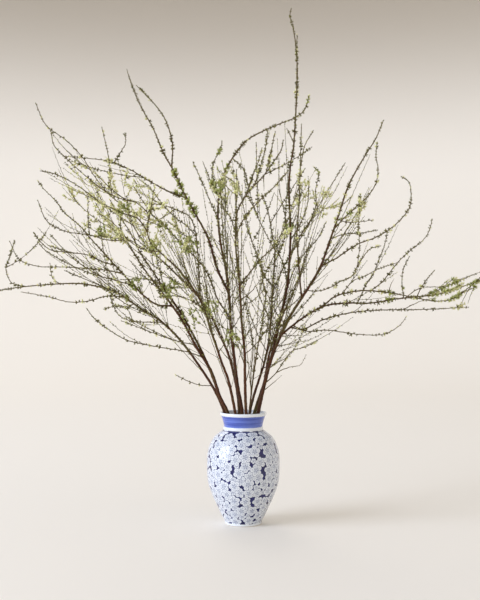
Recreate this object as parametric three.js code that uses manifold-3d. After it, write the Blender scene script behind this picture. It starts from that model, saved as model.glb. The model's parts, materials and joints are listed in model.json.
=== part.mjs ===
// Ikebana arrangement: budding meadowsweet branches standing in water in an ovoid porcelain vase.
// Millimetres, +Z up, the front towards -Y. The origin is the middle of the foot ring's underside.
import * as THREE from 'three';
import { mergeVertices } from 'three/addons/utils/BufferGeometryUtils.js';
import Module from 'manifold-3d';

const wasm = await Module();
wasm.setup();

// Driving dimensions of the vase: heights and radii of its turned profile.
const VASE = {
  footInner: 37,
  footHollow: 4,
  footSlope: 1.5,
  floor: 12,
  lipTop: 289,
  neckInner: 43.5,
  segments: 26,
  bodySteps: 11,
};
const BODY_OUTSIDE = [[47.5, 0], [49.4, 9.6], [56, 21.6], [66, 43], [80, 73], [91, 105], [94.8, 150],
  [91, 193], [77, 223], [62, 236], [51, 243.5]];
const NECK_OUTSIDE = [[51.4, 248.5], [49.8, 252], [53.5, 268], [57.6, 280], [60.3, 283.5]];
const LIP = [[59.5, 288], [57.8, VASE.lipTop], [56, 287]];
const INSIDE = [[54, 280], [48, 262], [VASE.neckInner, 246], [44, 240], [57, 229], [70, 217], [84.5, 190],
  [88, 150], [84.5, 106], [73.5, 74], [60, 45], [41, VASE.floor]];
const WATER_LEVEL = 190;
const WATER_GAP = 0.45;
const MERGE = 1e-3;
const TIDY = 0.01;

// Where the stems cross in the vase: their feet stand on a ring, each turned past its place at the lip.
const STEMS = {
  footHeight: 14,
  footRing: 36,
  footTwist: THREE.MathUtils.degToRad(105),
  neckHeight: 244,
  neckMargin: 0.9,
  holeGap: 0.5,
  holeBelow: 3,
};

// The front view that the branches are laid out on: a grid of 2.6 mm squares, columns to the right and
// rows downwards, seen by an eye in front of the vase. Depth spreads a point along the line of sight.
const GRID = { square: 2.6, middleColumn: 243.3, groundRow: 523 };
const EYE = { x: -8.6, z: 580, distance: 2700 };

// How the wood grows.
const WOOD = {
  clearance: 0.7,
  depthStep: 22,
  depthTries: 16,
  depthEase: 1.25,
  deepest: 386,
  ringSpacing: { stem: 74, shoot: 62 },
  tipGirth: 0.75,
  stemTipGirth: 1,
  sides: { stem: 5, fork: 4, shoot: 3 },
  rootShare: 0.9,
  forkGirth: 1.9,
  fewestRings: 3,
};
const SHOOT = {
  tries: 40,
  lowest: 360,
  length: [80, 240],
  spread: [0.4, 1.0],
  lift: [-0.05, 0.4],
  girth: 1.15,
  rise: 0.15,
  inward: 0.25,
  stations: [0, 0.35, 0.7, 1],
  reach: 372,
};
const BUD = { spacing: [76, 106], length: [8, 11], girth: 1.9, belly: 0.45, tilt: 0.7, clearance: 0.5 };
const LEAF = { length: [12, 17], width: 2.6, fold: 1.3, belly: 0.45, tilt: 0.95, perTuft: 2, spacing: 0.62 };
const TUFT_SEED_STEP = 1000;

// Where the buds have opened into bunches of leaves: column, row and radius on the grid.
const LEAFY = [[190, 200, 10], [182, 184, 5], [170, 230, 7], [189, 247, 9], [155, 244, 6], [138, 284, 7],
  [171, 289, 9], [127, 298, 5], [125, 208, 7], [217, 188, 7], [191, 317, 10], [210, 305, 8],
  [231, 331, 9], [290, 229, 9], [387, 297, 7], [412, 291, 8], [432, 294, 8], [450, 291, 13],
  [470, 284, 10], [309, 101, 5], [317, 172, 4], [348, 216, 4], [216, 152, 4], [103, 232, 5]];

// The outline of the branches on the grid, which the small shoots stay within.
const OUTLINE = [[0, 296], [4, 262], [8, 240], [22, 240], [32, 228], [34, 200], [34, 178], [38, 165],
  [46, 150], [48, 130], [33, 104], [38, 103], [52, 124], [68, 138], [84, 153], [98, 152], [98, 127],
  [105, 127], [112, 152], [121, 148], [122, 130], [128, 130], [129, 150], [124, 160], [152, 179],
  [172, 188], [182, 190], [172, 170], [163, 154], [151, 128], [138, 106], [126, 85], [125, 70], [130, 70],
  [138, 83], [147, 91], [160, 106], [169, 120], [175, 145], [175, 166], [189, 195], [202, 212], [206, 200],
  [190, 164], [196, 160], [206, 182], [200, 162], [206, 160], [211, 176], [210, 165], [218, 146],
  [220, 138], [226, 138], [222, 160], [230, 156], [244, 138], [261, 128], [278, 121], [294, 113], [294, 85],
  [293, 56], [290, 28], [287, 16], [288, 6], [294, 6], [294, 16], [297, 27], [300, 56], [300, 85],
  [299, 106], [304, 104], [306, 94], [312, 94], [312, 102], [308, 112], [302, 122], [302, 132], [310, 127],
  [317, 129], [315, 142], [309, 155], [309, 164], [316, 162], [322, 168], [322, 180], [329, 184],
  [342, 163], [346, 158], [360, 149], [363, 152], [350, 176], [368, 148], [374, 135], [380, 118],
  [386, 119], [381, 138], [380, 152], [382, 168], [378, 186], [371, 199], [370, 212], [376, 216],
  [377, 232], [388, 226], [399, 216], [407, 205], [408, 193], [405, 184], [399, 179], [402, 174],
  [410, 180], [414, 193], [413, 207], [404, 221], [390, 233], [388, 248], [388, 262], [398, 256],
  [409, 246], [421, 237], [427, 228], [430, 218], [435, 220], [434, 232], [427, 242], [414, 254],
  [412, 266], [408, 280], [420, 284], [432, 268], [438, 270], [430, 285], [445, 279], [462, 274],
  [480, 270], [488, 275], [488, 281], [474, 297], [470, 310], [440, 312], [418, 312], [410, 316],
  [402, 328], [385, 337], [356, 337], [330, 335], [318, 344], [306, 350], [306, 358], [300, 368],
  [288, 372], [276, 386], [266, 396], [262, 411], [222, 411], [211, 390], [200, 388], [173, 378],
  [176, 371], [198, 381], [205, 372], [198, 360], [184, 354], [155, 350], [125, 343], [106, 332], [92, 320],
  [84, 309], [92, 305], [103, 311], [112, 299], [100, 291], [80, 287], [60, 288], [46, 300], [20, 296]];

// Each branch: its stem's route up from the lip, the depth at the lip and at the tip, its girth there,
// how many small shoots it carries, and its larger shoots as [depth at the tip, girth, route].
const BRANCHES = [
  {
    name: 'branch_far_left',
    seed: 11,
    lip: 0,
    tip: 70,
    girth: 4.4,
    sprouts: 5,
    stem: [[224, 411], [214, 389], [200, 367], [181, 341], [162, 322], [140, 308], [118, 293], [102, 287.5],
      [80, 283.5], [55, 284], [30, 286], [10, 288.5], [-4, 291]],
    shoots: [
      [20, 1.5, [[125, 297], [107, 296], [88, 301], [70, 302], [45, 296], [22, 292]]],
      [100, 1.2, [[26, 286.5], [12, 283], [6, 270], [7, 263]]],
      [40, 1.1, [[60, 284], [53, 279], [50, 264]]],
      [140, 1.4, [[162, 322], [145, 322], [128, 320], [118, 314], [110, 297]]],
      [-120, 1.1, [[212, 386], [200, 385], [188, 381], [176, 375]]],
      [230, 1.3, [[134, 304], [127, 307], [116, 306], [104, 309]]],
    ],
  },
  {
    name: 'branch_left',
    seed: 22,
    lip: -21,
    tip: -50,
    girth: 6,
    sprouts: 6,
    stem: [[227, 411], [220, 397], [211, 371], [197, 348], [182, 320], [171, 304], [157, 286], [143.5, 268],
      [127, 241], [120.5, 228], [121, 216]],
    shoots: [
      [-10, 3.4, [[217, 390], [210, 370], [201.5, 351], [190, 329], [179, 310], [165, 290], [152, 270],
        [140, 252], [130, 232], [119, 215], [110, 200]]],
      [-110, 2.2, [[172, 306], [158, 305], [148, 299], [138, 290], [122, 273], [104, 253], [92, 240],
        [80, 226], [65, 213], [55, 200], [44, 189], [38, 181]]],
      [-190, 1.4, [[116, 266], [101, 261], [88, 255], [65, 252], [50, 249.5], [39, 240], [34, 233]]],
      [-70, 1.4, [[122, 273], [100, 269.5], [65, 267], [37, 266], [19, 259], [10, 242]]],
      [-250, 1.3, [[134, 285], [107, 278], [87, 272], [67, 263], [45, 250], [39, 243]]],
      [-140, 1.4, [[126, 240], [108, 240], [90, 235], [65, 231], [47, 221], [38, 201]]],
      [-170, 1.1, [[89, 236], [88, 214], [88, 194]]],
      [-240, 1.4, [[202, 357], [186, 351.5], [156, 346.5], [127, 340], [108, 329], [94, 318], [87, 309]]],
      [-150, 1.2, [[195, 345], [177, 341], [151, 332], [138, 327], [122, 321]]],
    ],
  },
  {
    name: 'branch_left_front',
    seed: 33,
    lip: -38,
    tip: -210,
    girth: 4.8,
    sprouts: 5,
    stem: [[235, 411], [232, 396], [228, 379], [221.5, 362], [216, 345], [210, 328], [205, 310], [198, 296],
      [180, 271], [160, 252], [151, 243], [147.5, 232], [149, 215], [150, 202]],
    shoots: [
      [-290, 1.6, [[149, 232], [137, 218], [122, 213], [97, 200], [84, 190], [70, 181], [52, 173],
        [41, 171]]],
      [-330, 1.5, [[149, 214], [137, 203], [122, 199], [108, 193], [87, 177], [66, 158], [54, 145],
        [51, 131]]],
      [-386, 1.3, [[108, 192], [95, 177], [83, 158], [67, 141], [46, 125], [36, 104]]],
      [-300, 1.2, [[112, 194], [110, 178], [109, 160], [102, 128]]],
      [-120, 1.4, [[160, 252], [142, 249], [124, 236], [112, 222], [100, 214]]],
      [-160, 1.3, [[205, 310], [190, 300], [176, 296], [158, 297]]],
    ],
  },
  {
    name: 'branch_left_back',
    seed: 44,
    lip: 40,
    tip: 210,
    girth: 5,
    sprouts: 7,
    stem: [[239, 411], [237, 390], [233.5, 373], [229, 356], [222, 339], [212, 318], [201, 300], [186, 284],
      [170, 268], [152, 251], [138, 234], [130, 216], [127, 196]],
    shoots: [
      [320, 1.9, [[201, 300], [199, 275], [197.5, 250], [195, 230], [190, 217], [175, 209], [162, 205],
        [145, 203], [127, 200]]],
      [180, 1.4, [[158, 257], [140, 246], [118, 232], [96, 219], [78, 203], [68, 188]]],
      [386, 1.4, [[196, 236], [187, 226], [176, 218], [164, 206], [150, 188], [138, 178]]],
      [70, 1.3, [[190, 288], [170, 287], [152, 280], [134, 279], [118, 280]]],
      [300, 1.3, [[134, 226], [122, 218], [106, 206], [96, 190]]],
    ],
  },
  {
    name: 'branch_middle',
    seed: 55,
    lip: 5,
    tip: -80,
    girth: 5.4,
    sprouts: 6,
    stem: [[242, 411], [237.5, 385], [234.5, 360], [231, 330], [229.5, 300], [226, 270], [220.5, 242],
      [218, 209], [223, 177], [232.5, 158], [246, 141], [262, 131.5], [279, 124], [296, 117], [305, 109],
      [309, 96]],
    shoots: [
      [120, 3, [[228, 293], [217, 268], [208, 238], [196, 215], [185, 195], [172, 168], [164, 154],
        [153, 128], [140, 105], [131, 83], [127, 70]]],
      [190, 1.8, [[172, 167], [172.5, 145], [166, 121], [157, 107], [145, 94], [137, 86]]],
      [30, 1.8, [[186, 198], [170, 192], [151, 182], [129, 169], [108, 161], [85, 158], [63, 156]]],
      [90, 1.1, [[114, 163], [120, 153], [125.5, 143], [125, 133]]],
      [-130, 1.8, [[230.5, 322], [226, 312], [218, 300], [211, 281], [202, 265], [190, 252], [178, 240],
        [164, 225], [150, 213]]],
      [130, 1.3, [[219, 220], [210, 201], [203, 184], [193, 162]]],
      [-20, 1.2, [[218, 198], [211, 182], [203, 162]]],
      [210, 1.2, [[218.5, 196], [213, 180], [213, 165], [221, 147], [222, 141]]],
      [-90, 1.1, [[224, 175], [236, 184], [241, 196]]],
      [-120, 1.1, [[233, 158], [244, 170], [248, 184]]],
    ],
  },
  {
    name: 'branch_upright',
    seed: 66,
    lip: -42,
    tip: -230,
    girth: 4.9,
    sprouts: 6,
    stem: [[246, 411], [245, 380], [244.5, 350], [242, 325], [239.5, 285], [236, 250], [235.5, 235],
      [237.5, 211], [250, 190], [262, 177.5], [275.5, 159], [281.5, 149], [283, 141]],
    shoots: [
      [-300, 1.8, [[240, 286], [251, 271], [261, 259], [275, 245], [283, 230]]],
      [-100, 1.5, [[246, 195], [252, 178], [257.8, 163], [262, 148]]],
      [-330, 1.2, [[254, 185], [260, 168], [265, 150], [268, 130]]],
      [-386, 1.5, [[236, 238], [241, 224], [250, 211], [261, 199], [275, 186], [288, 171]]],
      [-30, 1.2, [[236, 232], [231, 219], [225, 210], [218, 202]]],
      [-340, 1.1, [[266, 172], [270, 158], [272, 148]]],
    ],
  },
  {
    name: 'branch_thin',
    seed: 77,
    lip: -22,
    tip: -150,
    girth: 2.9,
    sprouts: 2,
    stem: [[249.5, 411], [251, 396], [253, 379], [255.5, 362], [258.5, 342], [262, 325], [264, 308],
      [266, 294], [262, 280]],
    shoots: [
      [-70, 1.4, [[250.5, 396], [251, 372], [253, 350], [250, 326], [246, 304]]],
      [-190, 1.1, [[258.5, 342], [266, 330], [276, 322], [284, 309]]],
    ],
  },
  {
    name: 'branch_right_back',
    seed: 88,
    lip: 40,
    tip: 190,
    girth: 4.5,
    sprouts: 8,
    stem: [[250, 411], [254, 395], [259.5, 378], [264.5, 362], [268.5, 343], [271, 320], [272.5, 295],
      [274, 270], [275, 250], [271.5, 231], [268, 211], [262, 194]],
    shoots: [
      [300, 1.6, [[271.5, 287], [264, 275], [259, 261], [250, 236], [243, 214]]],
      [90, 1.4, [[274.5, 262], [282, 246], [286, 226], [283, 206], [279, 190]]],
      [386, 1.5, [[271.5, 292], [282, 270], [296, 246], [309, 224], [322, 200], [330, 187], [345, 163]]],
      [330, 1.3, [[312, 219], [326, 208], [340, 206], [352, 196]]],
    ],
  },
  {
    name: 'branch_tallest',
    seed: 99,
    lip: 19,
    tip: 60,
    girth: 4.9,
    sprouts: 6,
    stem: [[255, 411], [263.5, 385], [272.5, 352], [280.5, 317], [287, 287], [290, 250], [290.5, 230],
      [289.5, 207], [289, 187], [290.3, 167], [293.5, 147], [295.6, 115], [297, 85], [296.7, 56],
      [293, 27], [290, 16], [291, 9]],
    shoots: [
      [130, 1.4, [[287.5, 283], [283, 263], [277, 248], [278, 230]]],
      [80, 1.1, [[294, 144], [291, 137], [287, 129]]],
      [250, 1.4, [[286, 291], [293, 272], [304, 254], [318, 238], [326, 222]]],
      [-40, 1.2, [[290, 240], [299, 226], [307, 206], [309, 186]]],
    ],
  },
  {
    name: 'branch_right',
    seed: 110,
    lip: -5,
    tip: -120,
    girth: 6,
    sprouts: 5,
    stem: [[258.5, 411], [264.5, 384], [271.5, 358], [281, 335], [292, 313], [303, 296], [315, 277],
      [322, 263], [328, 246], [338, 217], [349, 184.5], [366, 154], [376, 138], [383, 121]],
    shoots: [
      [60, 3.4, [[261, 397], [265.5, 375], [269, 355], [275, 335], [284, 312], [293, 293], [300, 275],
        [306, 256], [311, 238]]],
      [-60, 2.2, [[302, 298], [300, 281], [298, 254], [297, 234], [299, 205], [300, 174], [302, 158],
        [305, 145], [313, 131]]],
      [90, 1.7, [[298, 240], [304, 230], [311, 219], [316, 205], [315.7, 190], [318.4, 172], [314, 167]]],
      [-180, 1.5, [[334, 229], [347, 215], [357, 206], [367, 197], [376, 183], [378, 168], [376, 157],
        [377, 143]]],
      [-200, 1.8, [[321, 266], [336.5, 258], [348, 250], [360, 243], [374, 238], [390, 229], [402, 218],
        [410, 206], [411, 193], [409, 182], [402, 177]]],
      [-250, 1.2, [[307, 291], [318, 291], [331, 287], [341, 281], [352, 276], [358, 265], [370, 249],
        [380, 246]]],
      [-300, 1.1, [[357, 267], [359.5, 245], [358.5, 228], [359.5, 209]]],
      [-40, 1.1, [[338, 219], [346, 222], [357, 222], [372, 220]]],
      [20, 1.1, [[331, 238], [345, 234], [361, 233], [377, 230]]],
      [90, 2.6, [[281, 335], [297, 322], [312, 312], [326, 305.5], [346, 303], [370, 303], [395, 299],
        [414, 297], [440, 294], [455, 289], [470, 284], [487, 278]]],
      [-40, 1.9, [[312, 311], [325, 304], [334, 297], [346, 293], [363, 290.5], [392, 293], [412, 297],
        [436, 301], [452, 299], [468, 288], [481, 277]]],
      [150, 1.7, [[290, 327], [303, 329], [321, 320.5], [339, 315], [359, 311.5], [379, 310], [419, 309.5],
        [440, 308.7], [468, 307]]],
      [-80, 1.4, [[292, 325], [306, 331], [327, 330], [342, 332], [356, 334], [384, 334], [400, 325],
        [406, 317]]],
      [-110, 1.4, [[371, 291], [383, 281], [390, 272], [400, 260], [411, 250], [424, 239], [429, 231],
        [432, 220]]],
      [-60, 1.1, [[342, 294], [353, 281], [365, 276], [378, 269], [396, 263]]],
      [170, 1.3, [[358, 302], [366, 285], [374, 272], [379, 259], [384, 247], [387, 234]]],
      [40, 1.2, [[404, 297], [402, 283], [403, 270], [409, 257]]],
      [-20, 1.2, [[416, 297], [424, 283], [434, 271]]],
      [-130, 1.3, [[264.5, 384], [275, 374], [284, 361], [292, 351], [305, 347], [317, 341]]],
    ],
  },
];

// Seeded random numbers, the same on every run.
class Dice {
  constructor(seed) {
    this.state = seed >>> 0;
  }

  next() {
    this.state = (this.state + 0x6d2b79f5) >>> 0;
    let mixed = this.state;
    mixed = Math.imul(mixed ^ (mixed >>> 15), mixed | 1);
    mixed ^= mixed + Math.imul(mixed ^ (mixed >>> 7), mixed | 61);
    return ((mixed ^ (mixed >>> 14)) >>> 0) / 4294967296;
  }

  between([low, high]) {
    return low + (high - low) * this.next();
  }
}

// A grid point pushed back along the line of sight to its depth.
function seen([column, row], depth) {
  const spread = 1 + depth / EYE.distance;
  const x = (column - GRID.middleColumn) * GRID.square;
  const z = (GRID.groundRow - row) * GRID.square;
  return new THREE.Vector3(EYE.x + (x - EYE.x) * spread, depth, EYE.z + (z - EYE.z) * spread);
}

// The grid point where the eye sees a point in space.
function onGrid(point) {
  const spread = 1 + point.y / EYE.distance;
  const x = EYE.x + (point.x - EYE.x) / spread;
  const z = EYE.z + (point.z - EYE.z) / spread;
  return new THREE.Vector2(x / GRID.square + GRID.middleColumn, GRID.groundRow - z / GRID.square);
}

// Whether the eye sees a point within the outline of the branches.
function isInOutline(point) {
  const spot = onGrid(point);
  let inside = false;
  OUTLINE.forEach(([column, row], index) => {
    const [lastColumn, lastRow] = OUTLINE.at(index - 1);
    const share = (spot.y - row) / (lastRow - row);
    const crossing = column + (lastColumn - column) * share;
    if (row > spot.y !== lastRow > spot.y && spot.x < crossing) inside = !inside;
  });
  return inside;
}

// The least distance between the stretches p-q and r-s.
function stretchDistance(p, q, r, s) {
  const along = q.clone().sub(p);
  const across = s.clone().sub(r);
  const between = p.clone().sub(r);
  const a = along.dot(along);
  const e = across.dot(across);
  const f = across.dot(between);
  const c = along.dot(between);
  const b = along.dot(across);
  const denominator = a * e - b * b;
  let t = denominator > 1e-9 ? THREE.MathUtils.clamp((b * f - c * e) / denominator, 0, 1) : 0;
  let u = (b * t + f) / e;
  if (u < 0) {
    u = 0;
    t = THREE.MathUtils.clamp(-c / a, 0, 1);
  } else if (u > 1) {
    u = 1;
    t = THREE.MathUtils.clamp((b - c) / a, 0, 1);
  }
  return p.clone().addScaledVector(along, t).distanceTo(r.clone().addScaledVector(across, u));
}

// Every stretch of wood grown so far, which later growth of the other branches keeps clear of.
const grown = [];

function isClear(stretches, branch, clearance) {
  for (const mine of stretches) {
    for (const other of grown) {
      if (other.branch === branch) continue;
      const room = mine.girth + other.girth + clearance;
      const apart = mine.middle.distanceTo(other.middle) - mine.half - other.half;
      if (apart < room && stretchDistance(mine.from, mine.to, other.from, other.to) < room) return false;
    }
  }
  return true;
}

function stretchesOf(points, girths, branch) {
  return points.slice(1).map((to, index) => {
    const from = points[index];
    return {
      from,
      to,
      girth: Math.max(girths[index], girths[index + 1]),
      middle: from.clone().add(to).multiplyScalar(0.5),
      half: from.distanceTo(to) / 2,
      branch,
    };
  });
}

// A limb: the centre points of its rings along a smooth curve, and its girth at each.
function limbAlong(controls, rootGirth, tipGirth, sides) {
  const spacing = sides === WOOD.sides.stem ? WOOD.ringSpacing.stem : WOOD.ringSpacing.shoot;
  const curve = new THREE.CatmullRomCurve3(controls);
  const chord = controls.slice(1).reduce((sum, point, index) => sum + point.distanceTo(controls[index]), 0);
  const rings = Math.max(WOOD.fewestRings, Math.round(chord / spacing));
  const points = [];
  const girths = [];
  for (let ring = 0; ring <= rings; ring += 1) {
    const t = ring / rings;
    points.push(curve.getPoint(t));
    girths.push(tipGirth + (rootGirth - tipGirth) * (1 - t));
  }
  return { points, girths, sides };
}

// One ring direction for each centre point, carried along the limb without twisting.
function ringFrames(points) {
  const tangents = points.map((point, index) => {
    const before = points[Math.max(0, index - 1)];
    const after = points[Math.min(points.length - 1, index + 1)];
    return after.clone().sub(before).normalize();
  });
  let normal = new THREE.Vector3(0, 1, 0).cross(tangents[0]);
  if (normal.length() < 0.1) normal = new THREE.Vector3(1, 0, 0);
  return tangents.map((tangent) => {
    normal = normal.clone().addScaledVector(tangent, -normal.dot(tangent)).normalize();
    return { tangent, normal, binormal: tangent.clone().cross(normal) };
  });
}

function solidFrom(corners, triangles) {
  const vertProperties = new Float32Array(corners.flatMap((corner) => corner.toArray()));
  const triVerts = new Uint32Array(triangles);
  return new wasm.Manifold(new wasm.Mesh({ numProp: 3, vertProperties, triVerts }));
}

// The solid of a limb: rings of corners joined by triangles, closed at both ends.
function limbSolid({ points, girths, sides }) {
  const corners = [];
  const triangles = [];
  ringFrames(points).forEach(({ normal, binormal }, ring) => {
    for (let side = 0; side < sides; side += 1) {
      const angle = (2 * Math.PI * side) / sides;
      const corner = points[ring].clone();
      corner.addScaledVector(normal, Math.cos(angle) * girths[ring]);
      corner.addScaledVector(binormal, Math.sin(angle) * girths[ring]);
      corners.push(corner);
    }
  });
  const last = (points.length - 1) * sides;
  for (let side = 0; side < sides; side += 1) {
    const next = (side + 1) % sides;
    for (let base = 0; base < last; base += sides) {
      triangles.push(base + side, base + next, base + sides + next);
      triangles.push(base + side, base + sides + next, base + sides + side);
    }
  }
  for (let side = 1; side < sides - 1; side += 1) {
    triangles.push(0, side + 1, side);
    triangles.push(last, last + side, last + side + 1);
  }
  return solidFrom(corners, triangles);
}

// The place on a branch's wood that the eye sees nearest to a grid point.
function rootNear(gridPoint, branch) {
  const target = new THREE.Vector2(...gridPoint);
  let best = null;
  let bestGap = Infinity;
  for (const stretch of grown) {
    if (stretch.branch !== branch) continue;
    const from = onGrid(stretch.from);
    const along = onGrid(stretch.to).sub(from);
    const share = THREE.MathUtils.clamp(target.clone().sub(from).dot(along) / along.lengthSq(), 0, 1);
    const gap = target.distanceTo(from.addScaledVector(along, share));
    if (gap < bestGap) {
      bestGap = gap;
      best = { point: stretch.from.clone().lerp(stretch.to, share), girth: stretch.girth };
    }
  }
  return best;
}

// Depths to try for a tip, from the wanted one outwards on both sides.
function depthsAround(wanted) {
  const depths = [wanted];
  for (let step = 1; step <= WOOD.depthTries; step += 1) {
    depths.push(wanted - step * WOOD.depthStep, wanted + step * WOOD.depthStep);
  }
  return depths.filter((depth) => Math.abs(depth) <= WOOD.deepest);
}

// The route's grid points in space, with the depth easing from the root's to the tip's.
function routeInSpace(route, rootDepth, tipDepth) {
  const lengths = [0];
  for (let index = 1; index < route.length; index += 1) {
    const [column, row] = route[index];
    const [lastColumn, lastRow] = route[index - 1];
    lengths.push(lengths[index - 1] + Math.hypot(column - lastColumn, row - lastRow));
  }
  const total = lengths[lengths.length - 1];
  return route.map((gridPoint, index) => {
    const share = (lengths[index] / total) ** WOOD.depthEase;
    return seen(gridPoint, rootDepth + (tipDepth - rootDepth) * share);
  });
}

// A stem from its foot on the vase's floor through the neck, and along its route to the tip.
function growStem(branch) {
  const route = routeInSpace(branch.stem, branch.lip, branch.tip);
  const lip = route[0];
  const footAngle = Math.atan2(lip.y, lip.x) + STEMS.footTwist;
  const ring = Math.min(STEMS.footRing, Math.hypot(lip.x, lip.y));
  const foot = new THREE.Vector3(ring * Math.cos(footAngle), ring * Math.sin(footAngle), STEMS.footHeight);
  const neck = foot.clone().lerp(lip, (STEMS.neckHeight - foot.z) / (lip.z - foot.z));
  const widest = VASE.neckInner - branch.girth - STEMS.neckMargin;
  const drawnIn = Math.min(1, widest / Math.hypot(neck.x, neck.y));
  neck.x *= drawnIn;
  neck.y *= drawnIn;
  const limb = limbAlong([foot, neck, ...route], branch.girth, WOOD.stemTipGirth, WOOD.sides.stem);
  const inWater = { points: [foot, neck], girths: [branch.girth, branch.girth], sides: WOOD.sides.stem };
  return { limb, inWater };
}

// A larger shoot along its own route, bent to the first depth that is clear of the other branches.
function growShoot([depth, girth, route], branch) {
  const root = rootNear(route[0], branch);
  const rootGirth = Math.min(girth, root.girth * WOOD.rootShare);
  const sides = girth > WOOD.forkGirth ? WOOD.sides.fork : WOOD.sides.shoot;
  for (const tipDepth of depthsAround(depth)) {
    const controls = routeInSpace(route, root.point.y, tipDepth);
    controls[0] = root.point;
    const limb = limbAlong(controls, rootGirth, WOOD.tipGirth, sides);
    if (isClear(stretchesOf(limb.points, limb.girths, branch), branch, WOOD.clearance)) return limb;
  }
  return null;
}

// A small shoot from a random place on the branch, curving up towards the light.
function growSprout(branch, dice) {
  const carriers = grown.filter((stretch) => stretch.branch === branch && stretch.from.z > SHOOT.lowest);
  for (let attempt = 0; attempt < SHOOT.tries; attempt += 1) {
    const carrier = carriers[Math.floor(dice.next() * carriers.length)];
    const root = carrier.from.clone().lerp(carrier.to, dice.next());
    const tangent = carrier.to.clone().sub(carrier.from).normalize();
    const around = dice.next() * 2 * Math.PI;
    const spread = dice.between(SHOOT.spread);
    const length = dice.between(SHOOT.length);
    const lift = dice.between(SHOOT.lift) * length;
    const side = new THREE.Vector3(Math.cos(around), Math.sin(around), SHOOT.rise);
    if (side.x * root.x < 0) side.x *= SHOOT.inward;
    side.addScaledVector(tangent, -side.dot(tangent)).normalize();
    const heading = tangent.multiplyScalar(Math.cos(spread)).addScaledVector(side, Math.sin(spread));
    const controls = SHOOT.stations.map((share) => {
      const point = root.clone().addScaledVector(heading, share * length);
      point.z += lift * share * share;
      return point;
    });
    const tip = controls[controls.length - 1];
    const within = Math.abs(tip.y) < SHOOT.reach && tip.z > SHOOT.lowest && controls.every(isInOutline);
    const rootGirth = Math.min(SHOOT.girth, carrier.girth * WOOD.rootShare);
    const limb = limbAlong(controls, rootGirth, WOOD.tipGirth, WOOD.sides.shoot);
    const stretches = stretchesOf(limb.points, limb.girths, branch);
    if (within && isClear(stretches, branch, WOOD.clearance)) return limb;
  }
  return null;
}

function isLeafy(point) {
  const spot = onGrid(point);
  return LEAFY.some(([column, row, radius]) => Math.hypot(spot.x - column, spot.y - row) < radius);
}

// A bud: a slim three-edged spindle, its root in the wood.
function budSolid(root, heading, length) {
  const [frame] = ringFrames([root, root.clone().add(heading)]);
  const corners = [0, 1, 2].map((corner) => {
    const angle = (2 * Math.PI * corner) / 3;
    const point = root.clone().addScaledVector(heading, length * BUD.belly);
    point.addScaledVector(frame.normal, Math.cos(angle) * BUD.girth);
    return point.addScaledVector(frame.binormal, Math.sin(angle) * BUD.girth);
  });
  corners.push(root, root.clone().addScaledVector(heading, length));
  return solidFrom(corners, [0, 3, 1, 1, 3, 2, 2, 3, 0, 0, 1, 4, 1, 2, 4, 2, 0, 4]);
}

// A leaf: a pointed blade folded along its middle, its root in the wood.
function leafSolid(root, heading, across, length) {
  const tip = root.clone().addScaledVector(heading, length);
  const fold = heading.clone().cross(across).setLength(LEAF.fold);
  const middle = root.clone().lerp(tip, LEAF.belly).add(fold);
  const left = middle.clone().addScaledVector(across, LEAF.width);
  const right = middle.addScaledVector(across, -LEAF.width);
  return solidFrom([root, tip, left, right], [0, 2, 1, 0, 1, 3, 0, 3, 2, 1, 2, 3]);
}

// The buds and leaves along a limb, each where it is clear of the other branches.
function growTufts(limb, branch, dice) {
  const solids = [];
  const frames = ringFrames(limb.points);
  const faceAngle = (2 * Math.PI) / limb.sides;
  let wait = dice.between(BUD.spacing) * 0.5;
  for (let ring = 0; ring + 1 < limb.points.length; ring += 1) {
    const from = limb.points[ring];
    const to = limb.points[ring + 1];
    const length = from.distanceTo(to);
    let at = wait;
    while (at < length) {
      const root = from.clone().lerp(to, at / length);
      const leafy = isLeafy(root);
      const { tangent, normal, binormal } = frames[ring];
      const count = leafy ? LEAF.perTuft : 1;
      for (let blade = 0; blade < count; blade += 1) {
        const turn = faceAngle * (Math.floor(dice.next() * limb.sides) + 0.5);
        const tilt = leafy ? LEAF.tilt : BUD.tilt;
        const out = normal.clone().multiplyScalar(Math.cos(turn)).addScaledVector(binormal, Math.sin(turn));
        const heading = tangent.clone().multiplyScalar(Math.cos(tilt)).addScaledVector(out, Math.sin(tilt));
        const reach = dice.between(leafy ? LEAF.length : BUD.length);
        const girth = leafy ? LEAF.width : BUD.girth;
        const tip = root.clone().addScaledVector(heading, reach);
        const stretch = stretchesOf([root, tip], [girth, girth], branch);
        if (root.z > SHOOT.lowest && isClear(stretch, branch, BUD.clearance)) {
          const across = tangent.clone().cross(out).normalize();
          solids.push(leafy ? leafSolid(root, heading, across, reach) : budSolid(root, heading, reach));
          grown.push(...stretch);
        }
      }
      at += dice.between(BUD.spacing) * (leafy ? LEAF.spacing : 1);
    }
    wait = at - length;
  }
  return solids;
}

function geometryOf(solid) {
  const { vertProperties, triVerts } = solid.getMesh();
  const geometry = new THREE.BufferGeometry();
  geometry.setAttribute('position', new THREE.BufferAttribute(new Float32Array(vertProperties), 3));
  geometry.setIndex(new THREE.BufferAttribute(new Uint32Array(triVerts), 1));
  return geometry;
}

function turned(profile) {
  const points = profile.map(([radius, height]) => new THREE.Vector2(radius, height));
  const geometry = new THREE.LatheGeometry(points, VASE.segments);
  geometry.rotateX(Math.PI / 2);
  geometry.deleteAttribute('normal');
  geometry.deleteAttribute('uv');
  const merged = mergeVertices(geometry, MERGE);
  return new wasm.Manifold(new wasm.Mesh({
    numProp: 3,
    vertProperties: merged.attributes.position.array,
    triVerts: new Uint32Array(merged.index.array),
  }));
}

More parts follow.
